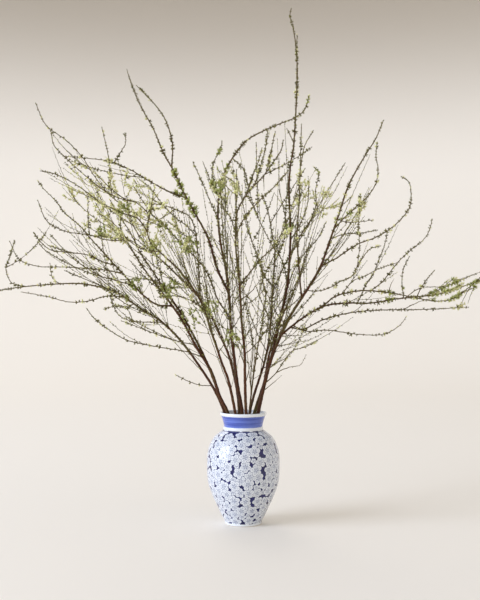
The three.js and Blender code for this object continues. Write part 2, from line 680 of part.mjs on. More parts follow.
// The vase: one turned wall with a foot ring, a round shoulder, a short neck and a flared lip.
function vaseSolid() {
  const belly = BODY_OUTSIDE.slice(2).map((point) => new THREE.Vector2(...point));
  const outside = new THREE.SplineCurve(belly).getPoints(VASE.bodySteps).map((point) => point.toArray());
  return turned([
    [0, VASE.footHollow],
    [VASE.footInner - VASE.footSlope, VASE.footHollow],
    [VASE.footInner, 0],
    ...BODY_OUTSIDE.slice(0, 2),
    ...outside,
    ...NECK_OUTSIDE,
    ...LIP,
    ...INSIDE,
    [0, VASE.floor],
  ]);
}

// The water: it fills the vase to its level, a hair inside the wall, with a plain hole for each stem.
function waterSolid(stemsInWater) {
  const wall = INSIDE.filter(([, height]) => height <= WATER_LEVEL).reverse();
  const bottom = VASE.floor + WATER_GAP;
  const sides = wall.map(([radius, height]) => [radius - WATER_GAP, Math.max(height, bottom)]);
  const water = turned([[0, bottom], ...sides, [0, WATER_LEVEL]]);
  const holes = stemsInWater.map(({ points: [foot, neck], girths, sides: corners }) => {
    const below = foot.clone().addScaledVector(neck.clone().sub(foot).normalize(), -STEMS.holeBelow);
    const widened = girths.map((girth) => girth + STEMS.holeGap);
    return limbSolid({ points: [below, neck], girths: widened, sides: corners });
  });
  return water.subtract(wasm.Manifold.union(holes));
}

const MATERIALS = {
  vase: new THREE.MeshStandardMaterial({ color: '#e9ebf0', roughness: 0.12, metalness: 0 }),
  water: new THREE.MeshStandardMaterial({ color: '#dfe9ea', roughness: 0.05, metalness: 0 }),
  wood: new THREE.MeshStandardMaterial({ color: '#4f2c20', roughness: 0.7, metalness: 0 }),
};

function namedMesh(name, solid, material) {
  const mesh = new THREE.Mesh(geometryOf(solid), material);
  mesh.name = name;
  return mesh;
}

// Grow the stems first, then the larger shoots, the small shoots, and last the buds and leaves.
const stemsInWater = [];
const growths = BRANCHES.map((branch) => {
  const { limb, inWater } = growStem(branch);
  stemsInWater.push(inWater);
  grown.push(...stretchesOf(limb.points, limb.girths, branch));
  return { branch, limbs: [limb] };
});
for (const { branch, limbs } of growths) {
  for (const shoot of branch.shoots) {
    const limb = growShoot(shoot, branch);
    if (!limb) throw new Error(`no clear way for a shoot of ${branch.name} from ${shoot[2][0]}`);
    limbs.push(limb);
    grown.push(...stretchesOf(limb.points, limb.girths, branch));
  }
}
for (const { branch, limbs } of growths) {
  const dice = new Dice(branch.seed);
  for (let count = 0; count < branch.sprouts; count += 1) {
    const limb = growSprout(branch, dice);
    if (limb) {
      limbs.push(limb);
      grown.push(...stretchesOf(limb.points, limb.girths, branch));
    }
  }
}

const arrangement = new THREE.Group();
arrangement.add(namedMesh('vase', vaseSolid(), MATERIALS.vase));
arrangement.add(namedMesh('water', waterSolid(stemsInWater), MATERIALS.water));
for (const { branch, limbs } of growths) {
  const dice = new Dice(branch.seed + TUFT_SEED_STEP);
  const tufts = limbs.flatMap((limb) => growTufts(limb, branch, dice));
  const solid = wasm.Manifold.union([...limbs.map(limbSolid), ...tufts]).simplify(TIDY);
  arrangement.add(namedMesh(branch.name, solid, MATERIALS.wood));
}

export default arrangement;
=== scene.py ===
"""Ikebana arrangement: budding meadowsweet branches in a blue-and-white porcelain vase.

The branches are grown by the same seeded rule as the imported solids, in millimetres, and then get round
bark, fine twigs, buds and leaves. Every finished piece is in metres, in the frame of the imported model.
"""

import json
import logging
import math
from collections.abc import Callable, Mapping, Sequence
from dataclasses import dataclass, field
from enum import Enum
from functools import partial

import bpy
import numpy as np
from bpy.types import Collection, Material, Mesh, Node, NodeSocket, NodeTree, Object
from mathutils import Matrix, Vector

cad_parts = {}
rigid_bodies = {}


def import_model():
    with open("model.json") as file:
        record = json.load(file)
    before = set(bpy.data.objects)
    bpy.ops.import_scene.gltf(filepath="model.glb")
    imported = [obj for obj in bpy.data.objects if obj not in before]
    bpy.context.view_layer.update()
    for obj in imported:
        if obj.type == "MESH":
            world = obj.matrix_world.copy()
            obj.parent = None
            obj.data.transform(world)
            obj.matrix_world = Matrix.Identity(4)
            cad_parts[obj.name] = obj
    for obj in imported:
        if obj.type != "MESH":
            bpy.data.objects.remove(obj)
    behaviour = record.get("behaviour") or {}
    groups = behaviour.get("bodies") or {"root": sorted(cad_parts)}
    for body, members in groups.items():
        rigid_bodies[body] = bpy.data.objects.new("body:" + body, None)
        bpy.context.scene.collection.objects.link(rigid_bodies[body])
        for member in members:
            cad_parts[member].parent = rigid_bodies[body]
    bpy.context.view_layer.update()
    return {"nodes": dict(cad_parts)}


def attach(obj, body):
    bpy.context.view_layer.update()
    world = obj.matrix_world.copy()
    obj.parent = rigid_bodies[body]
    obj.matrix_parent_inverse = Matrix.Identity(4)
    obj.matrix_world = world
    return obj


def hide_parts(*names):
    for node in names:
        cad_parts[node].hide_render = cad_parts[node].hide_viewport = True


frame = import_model()

LOG = logging.getLogger("ikebana")
METRE = 0.001  # one millimetre of the rules, in Blender's metres
FULL_TURN = 2 * math.pi
GOLDEN_ANGLE = math.radians(137.5)
PARALLEL = 1e-9  # two stretches whose spread is under this count as parallel

GridPoint = Sequence[float]
Span = tuple[float, float]
Outline = tuple[tuple[float, float], ...]


def grid_points(written: str) -> np.ndarray:
    """Reads points of the front grid, one a row, from a text such as "224,411 214,389"."""
    return np.array([pair.split(",") for pair in written.split()], dtype=float)


class Order(Enum):
    """How far a piece of wood is from the vase: a stem, a shoot on it, a fine twig or a short spur."""

    STEM = "stem"
    SHOOT = "shoot"
    TWIG = "twig"
    SPUR = "spur"


class Growth(Enum):
    """What grows at a node of the wood."""

    BUD = "buds"
    LEAF = "leaves"
    PALE = "pale_buds"


@dataclass(frozen=True)
class Shoot:
    """A larger shoot: the depth of its tip, its girth at the root and its route on the front grid."""

    depth: float
    girth: float
    route: str


@dataclass(frozen=True)
class Branch:
    """One branch: its stem's route up from the lip, the depths at lip and tip, and what it carries."""

    name: str
    seed: int
    lip: float
    tip: float
    girth: float
    sprouts: int
    stem: str
    shoots: tuple[Shoot, ...]


BRANCHES: tuple[Branch, ...] = (
    Branch(name="branch_far_left", seed=11, lip=0, tip=70, girth=4.4, sprouts=5,
        stem="224,411 214,389 200,367 181,341 162,322 140,308 118,293 102,287.5 80,283.5 55,284 30,286 "
            "10,288.5 -4,291",
        shoots=(
            Shoot(20, 1.5, "125,297 107,296 88,301 70,302 45,296 22,292"),
            Shoot(100, 1.2, "26,286.5 12,283 6,270 7,263"),
            Shoot(40, 1.1, "60,284 53,279 50,264"),
            Shoot(140, 1.4, "162,322 145,322 128,320 118,314 110,297"),
            Shoot(-120, 1.1, "212,386 200,385 188,381 176,375"),
            Shoot(230, 1.3, "134,304 127,307 116,306 104,309"),
        )),
    Branch(name="branch_left", seed=22, lip=-21, tip=-50, girth=6, sprouts=6,
        stem="227,411 220,397 211,371 197,348 182,320 171,304 157,286 143.5,268 127,241 120.5,228 121,216",
        shoots=(
            Shoot(-10, 3.4, "217,390 210,370 201.5,351 190,329 179,310 165,290 152,270 140,252 130,232 "
                "119,215 110,200"),
            Shoot(-110, 2.2, "172,306 158,305 148,299 138,290 122,273 104,253 92,240 80,226 65,213 55,200 "
                "44,189 38,181"),
            Shoot(-190, 1.4, "116,266 101,261 88,255 65,252 50,249.5 39,240 34,233"),
            Shoot(-70, 1.4, "122,273 100,269.5 65,267 37,266 19,259 10,242"),
            Shoot(-250, 1.3, "134,285 107,278 87,272 67,263 45,250 39,243"),
            Shoot(-140, 1.4, "126,240 108,240 90,235 65,231 47,221 38,201"),
            Shoot(-170, 1.1, "89,236 88,214 88,194"),
            Shoot(-240, 1.4, "202,357 186,351.5 156,346.5 127,340 108,329 94,318 87,309"),
            Shoot(-150, 1.2, "195,345 177,341 151,332 138,327 122,321"),
        )),
    Branch(name="branch_left_front", seed=33, lip=-38, tip=-210, girth=4.8, sprouts=5,
        stem="235,411 232,396 228,379 221.5,362 216,345 210,328 205,310 198,296 180,271 160,252 151,243 "
            "147.5,232 149,215 150,202",
        shoots=(
            Shoot(-290, 1.6, "149,232 137,218 122,213 97,200 84,190 70,181 52,173 41,171"),
            Shoot(-330, 1.5, "149,214 137,203 122,199 108,193 87,177 66,158 54,145 51,131"),
            Shoot(-386, 1.3, "108,192 95,177 83,158 67,141 46,125 36,104"),
            Shoot(-300, 1.2, "112,194 110,178 109,160 102,128"),
            Shoot(-120, 1.4, "160,252 142,249 124,236 112,222 100,214"),
            Shoot(-160, 1.3, "205,310 190,300 176,296 158,297"),
        )),
    Branch(name="branch_left_back", seed=44, lip=40, tip=210, girth=5, sprouts=7,
        stem="239,411 237,390 233.5,373 229,356 222,339 212,318 201,300 186,284 170,268 152,251 138,234 "
            "130,216 127,196",
        shoots=(
            Shoot(320, 1.9, "201,300 199,275 197.5,250 195,230 190,217 175,209 162,205 145,203 127,200"),
            Shoot(180, 1.4, "158,257 140,246 118,232 96,219 78,203 68,188"),
            Shoot(386, 1.4, "196,236 187,226 176,218 164,206 150,188 138,178"),
            Shoot(70, 1.3, "190,288 170,287 152,280 134,279 118,280"),
            Shoot(300, 1.3, "134,226 122,218 106,206 96,190"),
        )),
    Branch(name="branch_middle", seed=55, lip=5, tip=-80, girth=5.4, sprouts=6,
        stem="242,411 237.5,385 234.5,360 231,330 229.5,300 226,270 220.5,242 218,209 223,177 232.5,158 "
            "246,141 262,131.5 279,124 296,117 305,109 309,96",
        shoots=(
            Shoot(120, 3, "228,293 217,268 208,238 196,215 185,195 172,168 164,154 153,128 140,105 131,83 "
                "127,70"),
            Shoot(190, 1.8, "172,167 172.5,145 166,121 157,107 145,94 137,86"),
            Shoot(30, 1.8, "186,198 170,192 151,182 129,169 108,161 85,158 63,156"),
            Shoot(90, 1.1, "114,163 120,153 125.5,143 125,133"),
            Shoot(-130, 1.8, "230.5,322 226,312 218,300 211,281 202,265 190,252 178,240 164,225 150,213"),
            Shoot(130, 1.3, "219,220 210,201 203,184 193,162"),
            Shoot(-20, 1.2, "218,198 211,182 203,162"),
            Shoot(210, 1.2, "218.5,196 213,180 213,165 221,147 222,141"),
            Shoot(-90, 1.1, "224,175 236,184 241,196"),
            Shoot(-120, 1.1, "233,158 244,170 248,184"),
        )),
    Branch(name="branch_upright", seed=66, lip=-42, tip=-230, girth=4.9, sprouts=6,
        stem="246,411 245,380 244.5,350 242,325 239.5,285 236,250 235.5,235 237.5,211 250,190 262,177.5 "
            "275.5,159 281.5,149 283,141",
        shoots=(
            Shoot(-300, 1.8, "240,286 251,271 261,259 275,245 283,230"),
            Shoot(-100, 1.5, "246,195 252,178 257.8,163 262,148"),
            Shoot(-330, 1.2, "254,185 260,168 265,150 268,130"),
            Shoot(-386, 1.5, "236,238 241,224 250,211 261,199 275,186 288,171"),
            Shoot(-30, 1.2, "236,232 231,219 225,210 218,202"),
            Shoot(-340, 1.1, "266,172 270,158 272,148"),
        )),
    Branch(name="branch_thin", seed=77, lip=-22, tip=-150, girth=2.9, sprouts=2,
        stem="249.5,411 251,396 253,379 255.5,362 258.5,342 262,325 264,308 266,294 262,280",
        shoots=(
            Shoot(-70, 1.4, "250.5,396 251,372 253,350 250,326 246,304"),
            Shoot(-190, 1.1, "258.5,342 266,330 276,322 284,309"),
        )),
    Branch(name="branch_right_back", seed=88, lip=40, tip=190, girth=4.5, sprouts=8,
        stem="250,411 254,395 259.5,378 264.5,362 268.5,343 271,320 272.5,295 274,270 275,250 271.5,231 "
            "268,211 262,194",
        shoots=(
            Shoot(300, 1.6, "271.5,287 264,275 259,261 250,236 243,214"),
            Shoot(90, 1.4, "274.5,262 282,246 286,226 283,206 279,190"),
            Shoot(386, 1.5, "271.5,292 282,270 296,246 309,224 322,200 330,187 345,163"),
            Shoot(330, 1.3, "312,219 326,208 340,206 352,196"),
        )),
    Branch(name="branch_tallest", seed=99, lip=19, tip=60, girth=4.9, sprouts=6,
        stem="255,411 263.5,385 272.5,352 280.5,317 287,287 290,250 290.5,230 289.5,207 289,187 290.3,167 "
            "293.5,147 295.6,115 297,85 296.7,56 293,27 290,16 291,9",
        shoots=(
            Shoot(130, 1.4, "287.5,283 283,263 277,248 278,230"),
            Shoot(80, 1.1, "294,144 291,137 287,129"),
            Shoot(250, 1.4, "286,291 293,272 304,254 318,238 326,222"),
            Shoot(-40, 1.2, "290,240 299,226 307,206 309,186"),
        )),
    Branch(name="branch_right", seed=110, lip=-5, tip=-120, girth=6, sprouts=5,
        stem="258.5,411 264.5,384 271.5,358 281,335 292,313 303,296 315,277 322,263 328,246 338,217 "
            "349,184.5 366,154 376,138 383,121",
        shoots=(
            Shoot(60, 3.4, "261,397 265.5,375 269,355 275,335 284,312 293,293 300,275 306,256 311,238"),
            Shoot(-60, 2.2, "302,298 300,281 298,254 297,234 299,205 300,174 302,158 305,145 313,131"),
            Shoot(90, 1.7, "298,240 304,230 311,219 316,205 315.7,190 318.4,172 314,167"),
            Shoot(-180, 1.5, "334,229 347,215 357,206 367,197 376,183 378,168 376,157 377,143"),
            Shoot(-200, 1.8, "321,266 336.5,258 348,250 360,243 374,238 390,229 402,218 410,206 411,193 "
                "409,182 402,177"),
            Shoot(-250, 1.2, "307,291 318,291 331,287 341,281 352,276 358,265 370,249 380,246"),
            Shoot(-300, 1.1, "357,267 359.5,245 358.5,228 359.5,209"),
            Shoot(-40, 1.1, "338,219 346,222 357,222 372,220"),
            Shoot(20, 1.1, "331,238 345,234 361,233 377,230"),
            Shoot(90, 2.6, "281,335 297,322 312,312 326,305.5 346,303 370,303 395,299 414,297 440,294 "
                "455,289 470,284 487,278"),
            Shoot(-40, 1.9, "312,311 325,304 334,297 346,293 363,290.5 392,293 412,297 436,301 452,299 "
                "468,288 481,277"),
            Shoot(150, 1.7, "290,327 303,329 321,320.5 339,315 359,311.5 379,310 419,309.5 440,308.7 "
                "468,307"),
            Shoot(-80, 1.4, "292,325 306,331 327,330 342,332 356,334 384,334 400,325 406,317"),
            Shoot(-110, 1.4, "371,291 383,281 390,272 400,260 411,250 424,239 429,231 432,220"),
            Shoot(-60, 1.1, "342,294 353,281 365,276 378,269 396,263"),
            Shoot(170, 1.3, "358,302 366,285 374,272 379,259 384,247 387,234"),
            Shoot(40, 1.2, "404,297 402,283 403,270 409,257"),
            Shoot(-20, 1.2, "416,297 424,283 434,271"),
            Shoot(-130, 1.3, "264.5,384 275,374 284,361 292,351 305,347 317,341"),
        )),
)

# Fine twigs read off the front view, which only this script adds: depth at the tip and route, by branch.
TRACED_TWIGS: dict[str, tuple[tuple[float, str], ...]] = {
    "branch_middle": (
        (-60, "223,182 229,189 238,197"),
        (60, "236,340 241,352 243.5,362"),
        (-30, "230,300 234,290 238,282"),
        (-100, "229.5,310 236,299 244,288 248,276"),
        (90, "231,330 238,320 243,308 250,296"),
        (120, "234,374 231.5,358 230,344 230.5,328"),
    ),
    "branch_upright": (
        (-200, "264,176 264,190"),
        (-120, "241,290 248,297 256,312 260,322"),
        (60, "244.5,354 250,350 257.5,342 261,336 269,330"),
        (30, "243,340 250,330 258,322 263,310"),
        (-150, "241,300 250,293 258,283 266,273"),
        (100, "241.5,306 252,301 262,292 270,284"),
        (80, "243.5,366 240,352 236.5,335 234,318 233,304"),
        (-60, "244.5,384 248.5,372 251,360 252.5,346"),
    ),
    "branch_right": (
        (20, "404,309 412,305 424,300 436,298"),
        (60, "405,297 420,288 444,286 450,281 460,279 480,272"),
        (-10, "470,285 467,292 461,304"),
        (60, "473,286 471,294 468,303"),
        (-60, "388,292 391,284 394,279"),
        (-150, "276,373 290,367 300,365 306,355"),
        (-170, "271,370 280,358 284,352"),
        (-40, "266,392 273,383 281,376"),
        (60, "278,347 290,344 312,339"),
        (30, "283,337 310,335"),
        (30, "285,328 280,312 277,298 279,284"),
    ),
    "branch_far_left": (
        (170, "133,319 128,310 118,304"),
    ),
    "branch_right_back": (
        (-20, "264.5,364 260,357 254,345 247,334"),
        (90, "266,352 259.5,338 254,326 249,312 247,300"),
        (150, "271,318 278,306 285,296 289,284"),
    ),
    "branch_tallest": (
        (120, "280,320 273,306 268,296 262,284"),
        (-60, "276,335 270,318 262,303 257,290"),
        (100, "283,305 290,296 297,283 303,270"),
    ),
    "branch_left_back": (
        (60, "226,349 230,338 233,326 234,312"),
        (-60, "229.5,361 224,354 219.5,348"),
    ),
    "branch_left_front": (
        (-80, "219,352 224,344 227,331 228,318"),
    ),
}

# The outline of the branches on the front view, which the small shoots and fine twigs stay within.
OUTLINE = (
    "0,296 4,262 8,240 22,240 32,228 34,200 34,178 38,165 46,150 48,130 33,104 38,103 52,124 68,138 84,153 "
    "98,152 98,127 105,127 112,152 121,148 122,130 128,130 129,150 124,160 152,179 172,188 182,190 172,170 "
    "163,154 151,128 138,106 126,85 125,70 130,70 138,83 147,91 160,106 169,120 175,145 175,166 189,195 "
    "202,212 206,200 190,164 196,160 206,182 200,162 206,160 211,176 210,165 218,146 220,138 226,138 "
    "222,160 230,156 244,138 261,128 278,121 294,113 294,85 293,56 290,28 287,16 288,6 294,6 294,16 297,27 "
    "300,56 300,85 299,106 304,104 306,94 312,94 312,102 308,112 302,122 302,132 310,127 317,129 315,142 "
    "309,155 309,164 316,162 322,168 322,180 329,184 342,163 346,158 360,149 363,152 350,176 368,148 "
    "374,135 380,118 386,119 381,138 380,152 382,168 378,186 371,199 370,212 376,216 377,232 388,226 "
    "399,216 407,205 408,193 405,184 399,179 402,174 410,180 414,193 413,207 404,221 390,233 388,248 "
    "388,262 398,256 409,246 421,237 427,228 430,218 435,220 434,232 427,242 414,254 412,266 408,280 "
    "420,284 432,268 438,270 430,285 445,279 462,274 480,270 488,275 488,281 474,297 470,310 440,312 "
    "418,312 410,316 402,328 385,337 356,337 330,335 318,344 306,350 306,358 300,368 288,372 276,386 "
    "266,396 262,411 222,411 211,390 200,388 173,378 176,371 198,381 205,372 198,360 184,354 155,350 "
    "125,343 106,332 92,320 84,309 92,305 103,311 112,299 100,291 80,287 60,288 46,300 20,296")

# Where the buds have opened: column, row and radius of each bunch of leaves on the front grid.
LEAFY_SPOTS = grid_points(
    "190,200,10 182,184,5 170,230,7 189,247,9 155,244,6 138,284,7 171,289,9 127,298,5 125,208,7 217,188,7 "
    "192,320,11 212,309,8 231,340,9 290,229,5 388,297,6 408,289,6 432,296,5 450,290,11 471,283,6 309,101,5 "
    "317,172,4 348,216,4 216,152,4 103,232,5 184,192,7 197,211,8 177,174,4 184,246,6 178,239,6 164,225,5 "
    "222,168,6")

# Where the branches fork finely, as column, row and radius: elsewhere few twigs leave them.
BUSHY_SPOTS = grid_points(
    "122,212,48 84,190,30 112,262,36 160,288,42 228,205,14 235,300,45 300,214,20 345,214,24 330,285,30 "
    "148,310,28 420,296,20 262,335,28")

# Where the eye sees the wall between the outer shoots, as column, row and radius: no twig passes there.
CLEAR_SPOTS = grid_points(
    "38,276,8 56,275,7 28,256,8 45,258,5 20,274,6 75,295,7 95,294,5 60,292,5 392,210,14 400,245,10 "
    "360,180,8 345,190,6 150,165,14 178,140,9 250,150,7 362,320,7 395,320,8 430,303,5 170,355,5 140,335,6")

# Where the twigs carry pale young buds, which show as a light haze.
PALE_SPOTS = grid_points(
    "128,210,42 92,200,30 165,240,24 78,182,18 320,205,20 345,208,20 282,232,9 310,137,9 226,188,16 "
    "182,296,12 302,180,10 300,205,8 68,217,9 110,160,8 450,291,20")


@dataclass(frozen=True)
class FrontView:
    """The grid of squares over the front view, columns right and rows down, and the eye before it."""

    square: float = 2.6
    middle_column: float = 243.3
    ground_row: float = 523.0
    rows: int = 600
    eye_x: float = -8.6
    eye_z: float = 580.0
    distance: float = 2700.0

    def place(self, point: GridPoint, depth: float) -> np.ndarray:
        """Puts a grid point in space.

        Args:
            point: column and row.
            depth: how far behind the vase's axis it lies, in millimetres.

        Returns:
            The point in millimetres, on the eye's line of sight.
        """
        spread = 1 + depth / self.distance
        x = (point[0] - self.middle_column) * self.square
        z = (self.ground_row - point[1]) * self.square
        return np.array((self.eye_x + (x - self.eye_x) * spread, depth,
            self.eye_z + (z - self.eye_z) * spread))

    def spots(self, places: np.ndarray) -> np.ndarray:
        """Finds where the eye sees points in space.

        Args:
            places: points in millimetres, one a row.

        Returns:
            Their columns and rows.
        """
        spread = 1 + places[:, 1] / self.distance
        x = self.eye_x + (places[:, 0] - self.eye_x) / spread
        z = self.eye_z + (places[:, 2] - self.eye_z) / spread
        return np.stack((x / self.square + self.middle_column, self.ground_row - z / self.square), axis=1)

    def outlines(self, places: np.ndarray) -> bool:
        """Tells whether the eye sees all the places within the outline of the branches.

        Args:
            places: points in millimetres, one a row.

        Returns:
            Whether none lies outside it.
        """
        spots = self.spots(places)
        edges = grid_points(OUTLINE)
        before = np.roll(edges, 1, axis=0)
        columns, rows = spots[:, :1], spots[:, 1:]
        passes = (edges[:, 1] > rows) != (before[:, 1] > rows)
        rise = np.where(passes, before[:, 1] - edges[:, 1], 1)
        crossing = edges[:, 0] + (before[:, 0] - edges[:, 0]) * (rows - edges[:, 1]) / rise
        return bool(np.all(np.sum(passes & (columns < crossing), axis=1) % 2 == 1))


VIEW = FrontView()


def is_among(spots: np.ndarray, place: np.ndarray) -> bool:
    """Tells whether the eye sees a place within one of some round spots of the front grid."""
    columns, rows = (VIEW.spots(place[None, :]) - spots[:, :2]).T
    return bool(np.any(np.hypot(columns, rows) < spots[:, 2]))


class Dice:
    """Seeded random numbers, the same on every run."""

    WORD = 0xFFFFFFFF
    STEP = 0x6D2B79F5

    def __init__(self, seed: int) -> None:
        """Starts the sequence at a seed."""
        self.state = seed & self.WORD

    def next(self) -> float:
        """Draws a number.

        Returns:
            The number, from 0 up to 1.
        """
        self.state = (self.state + self.STEP) & self.WORD
        mixed = self.state
        mixed = ((mixed ^ (mixed >> 15)) * (mixed | 1)) & self.WORD
        mixed ^= (mixed + ((mixed ^ (mixed >> 7)) * (mixed | 61))) & self.WORD
        return ((mixed ^ (mixed >> 14)) & self.WORD) / (self.WORD + 1)

    def between(self, span: Span) -> float:
        """Draws a number between the two ends of a span."""
        return span[0] + (span[1] - span[0]) * self.next()


def unit(vector: np.ndarray) -> np.ndarray:
    """Scales a vector to length one."""
    return vector / np.linalg.norm(vector)


def distances_along(points: np.ndarray) -> np.ndarray:
    """Measures how far along a line of points each of them lies."""
    return np.concatenate(((0.0,), np.cumsum(np.linalg.norm(np.diff(points, axis=0), axis=1))))


def smooth_curve(controls: np.ndarray, count: int) -> np.ndarray:
    """Runs a centripetal Catmull-Rom curve through its controls.

    Args:
        controls: the points to pass through, one a row.
        count: into how many equal steps of the curve's parameter it is cut.

    Returns:
        The count + 1 points of the curve.
    """
    last = len(controls) - 1
    before = 2 * controls[0] - controls[1]
    after = 2 * controls[-1] - controls[-2]
    padded = np.vstack((before, controls, after))
    place = np.linspace(0, 1, count + 1) * last
    index = np.minimum(place.astype(int), last - 1)
    share = (place - index)[:, None]
    a, b, c, d = (padded[index + step] for step in range(4))
    knot_ab, knot_bc, knot_cd = (np.sqrt(np.linalg.norm(end - start, axis=1, keepdims=True))
        for start, end in ((a, b), (b, c), (c, d)))
    slope_b = ((b - a) / knot_ab - (c - a) / (knot_ab + knot_bc) + (c - b) / knot_bc) * knot_bc
    slope_c = ((c - b) / knot_bc - (d - b) / (knot_bc + knot_cd) + (d - c) / knot_cd) * knot_bc
    square = -3 * b + 3 * c - 2 * slope_b - slope_c
    cube = 2 * b - 2 * c + slope_b + slope_c
    return b + slope_b * share + square * share**2 + cube * share**3


def stretch_distances(p: np.ndarray, q: np.ndarray, starts: np.ndarray, ends: np.ndarray) -> np.ndarray:
    """Measures the least distance from the stretch p-q to each of many stretches.

    Args:
        p: one end of the stretch.
        q: its other end.
        starts: first ends of the other stretches, one a row.
        ends: their second ends.

    Returns:
        One distance for each of the other stretches.
    """
    along = q - p
    across = ends - starts
    between = p - starts
    a = along @ along
    e = np.einsum("ij,ij->i", across, across)
    f = np.einsum("ij,ij->i", across, between)
    c = between @ along
    b = across @ along
    spread = a * e - b * b
    t = np.where(spread > PARALLEL, np.clip((b * f - c * e) / np.maximum(spread, PARALLEL), 0, 1), 0)
    u = (b * t + f) / e
    t = np.where(u < 0, np.clip(-c / a, 0, 1), np.where(u > 1, np.clip((b - c) / a, 0, 1), t))
    u = np.clip(u, 0, 1)
    return np.linalg.norm(p + along * t[:, None] - starts - across * u[:, None], axis=1)


@dataclass
class Limb:
    """One piece of wood: the ring centres of its plain solid, and the smooth course between them."""

    order: Order
    rings: np.ndarray
    girths: np.ndarray
    course: np.ndarray
    root_girth: float
    tip_girth: float
    travelled: np.ndarray = field(init=False)

    def __post_init__(self) -> None:
        """Measures how far along the wood each point of the course lies."""
        self.travelled = distances_along(self.course)

    @property
    def length(self) -> float:
        """Gives the length of the course in millimetres."""
        return float(self.travelled[-1])

    def at(self, stations: np.ndarray | float) -> np.ndarray:
        """Finds the points of the course at distances from its root, or the one point at one distance."""
        return np.stack([np.interp(stations, self.travelled, axis) for axis in self.course.T], axis=-1)

    def heading(self, station: float, step: float = 3.0) -> np.ndarray:
        """Gives the direction of the wood at a distance from its root."""
        ends = self.at(np.clip(np.array((station - step, station + step)), 0, self.length))
        return unit(ends[1] - ends[0])

    def girth_at(self, stations: np.ndarray | float) -> np.ndarray | float:
        """Gives the wood's half thickness at distances from its root, or at one distance."""
        return self.root_girth + (self.tip_girth - self.root_girth) * stations / self.length

    def rooted_at(self, place: np.ndarray, ease: float) -> "Limb":
        """Draws the root over to a place on the wood that carries it.

        Args:
            place: where the root belongs.
            ease: over what length from the root the shift dies out.

        Returns:
            The limb with the bent course.
        """
        fade = np.clip(1 - self.travelled / ease, 0, 1)[:, None] ** 2
        course = self.course + (place - self.course[0]) * fade
        return Limb(self.order, self.rings, self.girths, course, self.root_girth, self.tip_girth)


@dataclass(frozen=True)
class Growing:
    """How the wood grows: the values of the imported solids, and those of the fine twigs."""

    clearance: float = 0.7
    depth_step: float = 22
    depth_tries: int = 16
    depth_ease: float = 1.25
    deepest: float = 386
    stem_ring_spacing: float = 74
    shoot_ring_spacing: float = 62
    fewest_rings: int = 3
    course_step: float = 4
    tip_girth: float = 0.75
    stem_tip_girth: float = 1
    root_share: float = 0.9
    foot_height: float = 14
    foot_ring: float = 36
    foot_twist: float = math.radians(105)
    neck_height: float = 244
    neck_inner: float = 43.5
    neck_margin: float = 0.9
    root_ease: float = 40
    outer_share: float = 0.12


@dataclass(frozen=True)
class SproutRule:
    """The spans that a small shoot or a fine twig is drawn from, and where on the wood it may stand."""

    length: Span
    spread: Span
    lift: Span
    girth: float
    tip_girth: float
    lowest: float
    reach: float = 375
    tries: int = 1
    rise: float = 0.25
    stations: tuple[float, ...] = (0, 0.3, 0.65, 1)
    stretch: Span = (0.12, 0.95)
    inward: float = 0.25

    def controls(self, root: np.ndarray, tangent: np.ndarray, dice: Dice) -> np.ndarray:
        """Draws one shoot's course.

        Args:
            root: where it leaves the wood.
            tangent: the direction of the wood there.
            dice: the draws come from here.

        Returns:
            The points that it passes through.
        """
        around = dice.next() * FULL_TURN
        spread = dice.between(self.spread)
        length = dice.between(self.length)
        lift = dice.between(self.lift) * length
        side = np.array((math.cos(around), math.sin(around), self.rise))
        if side[0] * root[0] < 0:
            side[0] *= self.inward
        side = unit(side - tangent * (side @ tangent))
        heading = tangent * math.cos(spread) + side * math.sin(spread)
        shares = np.array(self.stations)[:, None]
        return root + heading * shares * length + np.array((0, 0, lift)) * shares**2

    def holds(self, controls: np.ndarray) -> bool:
        """Tells whether a shoot stays within the arrangement."""
        _, depth, height = controls[-1]
        return abs(depth) < self.reach and height > self.lowest and VIEW.outlines(controls)

    def clears(self, controls: np.ndarray) -> bool:
        """Tells whether a fine twig keeps out of the clear places of the front view."""
        return self.holds(controls) and not any(is_among(CLEAR_SPOTS, place) for place in controls[1:])


SPROUTS = SproutRule(length=(80, 240), spread=(0.4, 1.0), lift=(-0.05, 0.4), girth=1.15, tip_girth=0.75,
    lowest=360, reach=372, tries=40, rise=0.15, stations=(0, 0.35, 0.7, 1))
TWIGS = SproutRule(length=(45, 170), spread=(0.18, 0.6), lift=(0.0, 0.32), girth=0.62, tip_girth=0.3,
    lowest=400, tries=5)
WITHES = SproutRule(length=(200, 430), spread=(0.1, 0.32), lift=(-0.02, 0.16), girth=0.85, tip_girth=0.35,
    lowest=330, tries=12, rise=0.1, stretch=(0.25, 0.62))
CROSSERS = SproutRule(length=(70, 190), spread=(0.5, 1.05), lift=(0.0, 0.25), girth=0.5, tip_girth=0.28,
    lowest=350, reach=300, tries=10, rise=0.15, stretch=(0.26, 0.62), inward=1.0)
SPURS = SproutRule(length=(18, 55), spread=(0.4, 1.1), lift=(0.0, 0.3), girth=0.4, tip_girth=0.26,
    lowest=500, reach=380, stations=(0, 0.35, 0.7, 1))
TRACED_GIRTH = 1.05
NESTED_SHARE = 0.4
FEWEST_SHARE = 0.7  # the least share of a limb's usual count of twigs, and how much more it may be
MORE_SHARE = 0.6


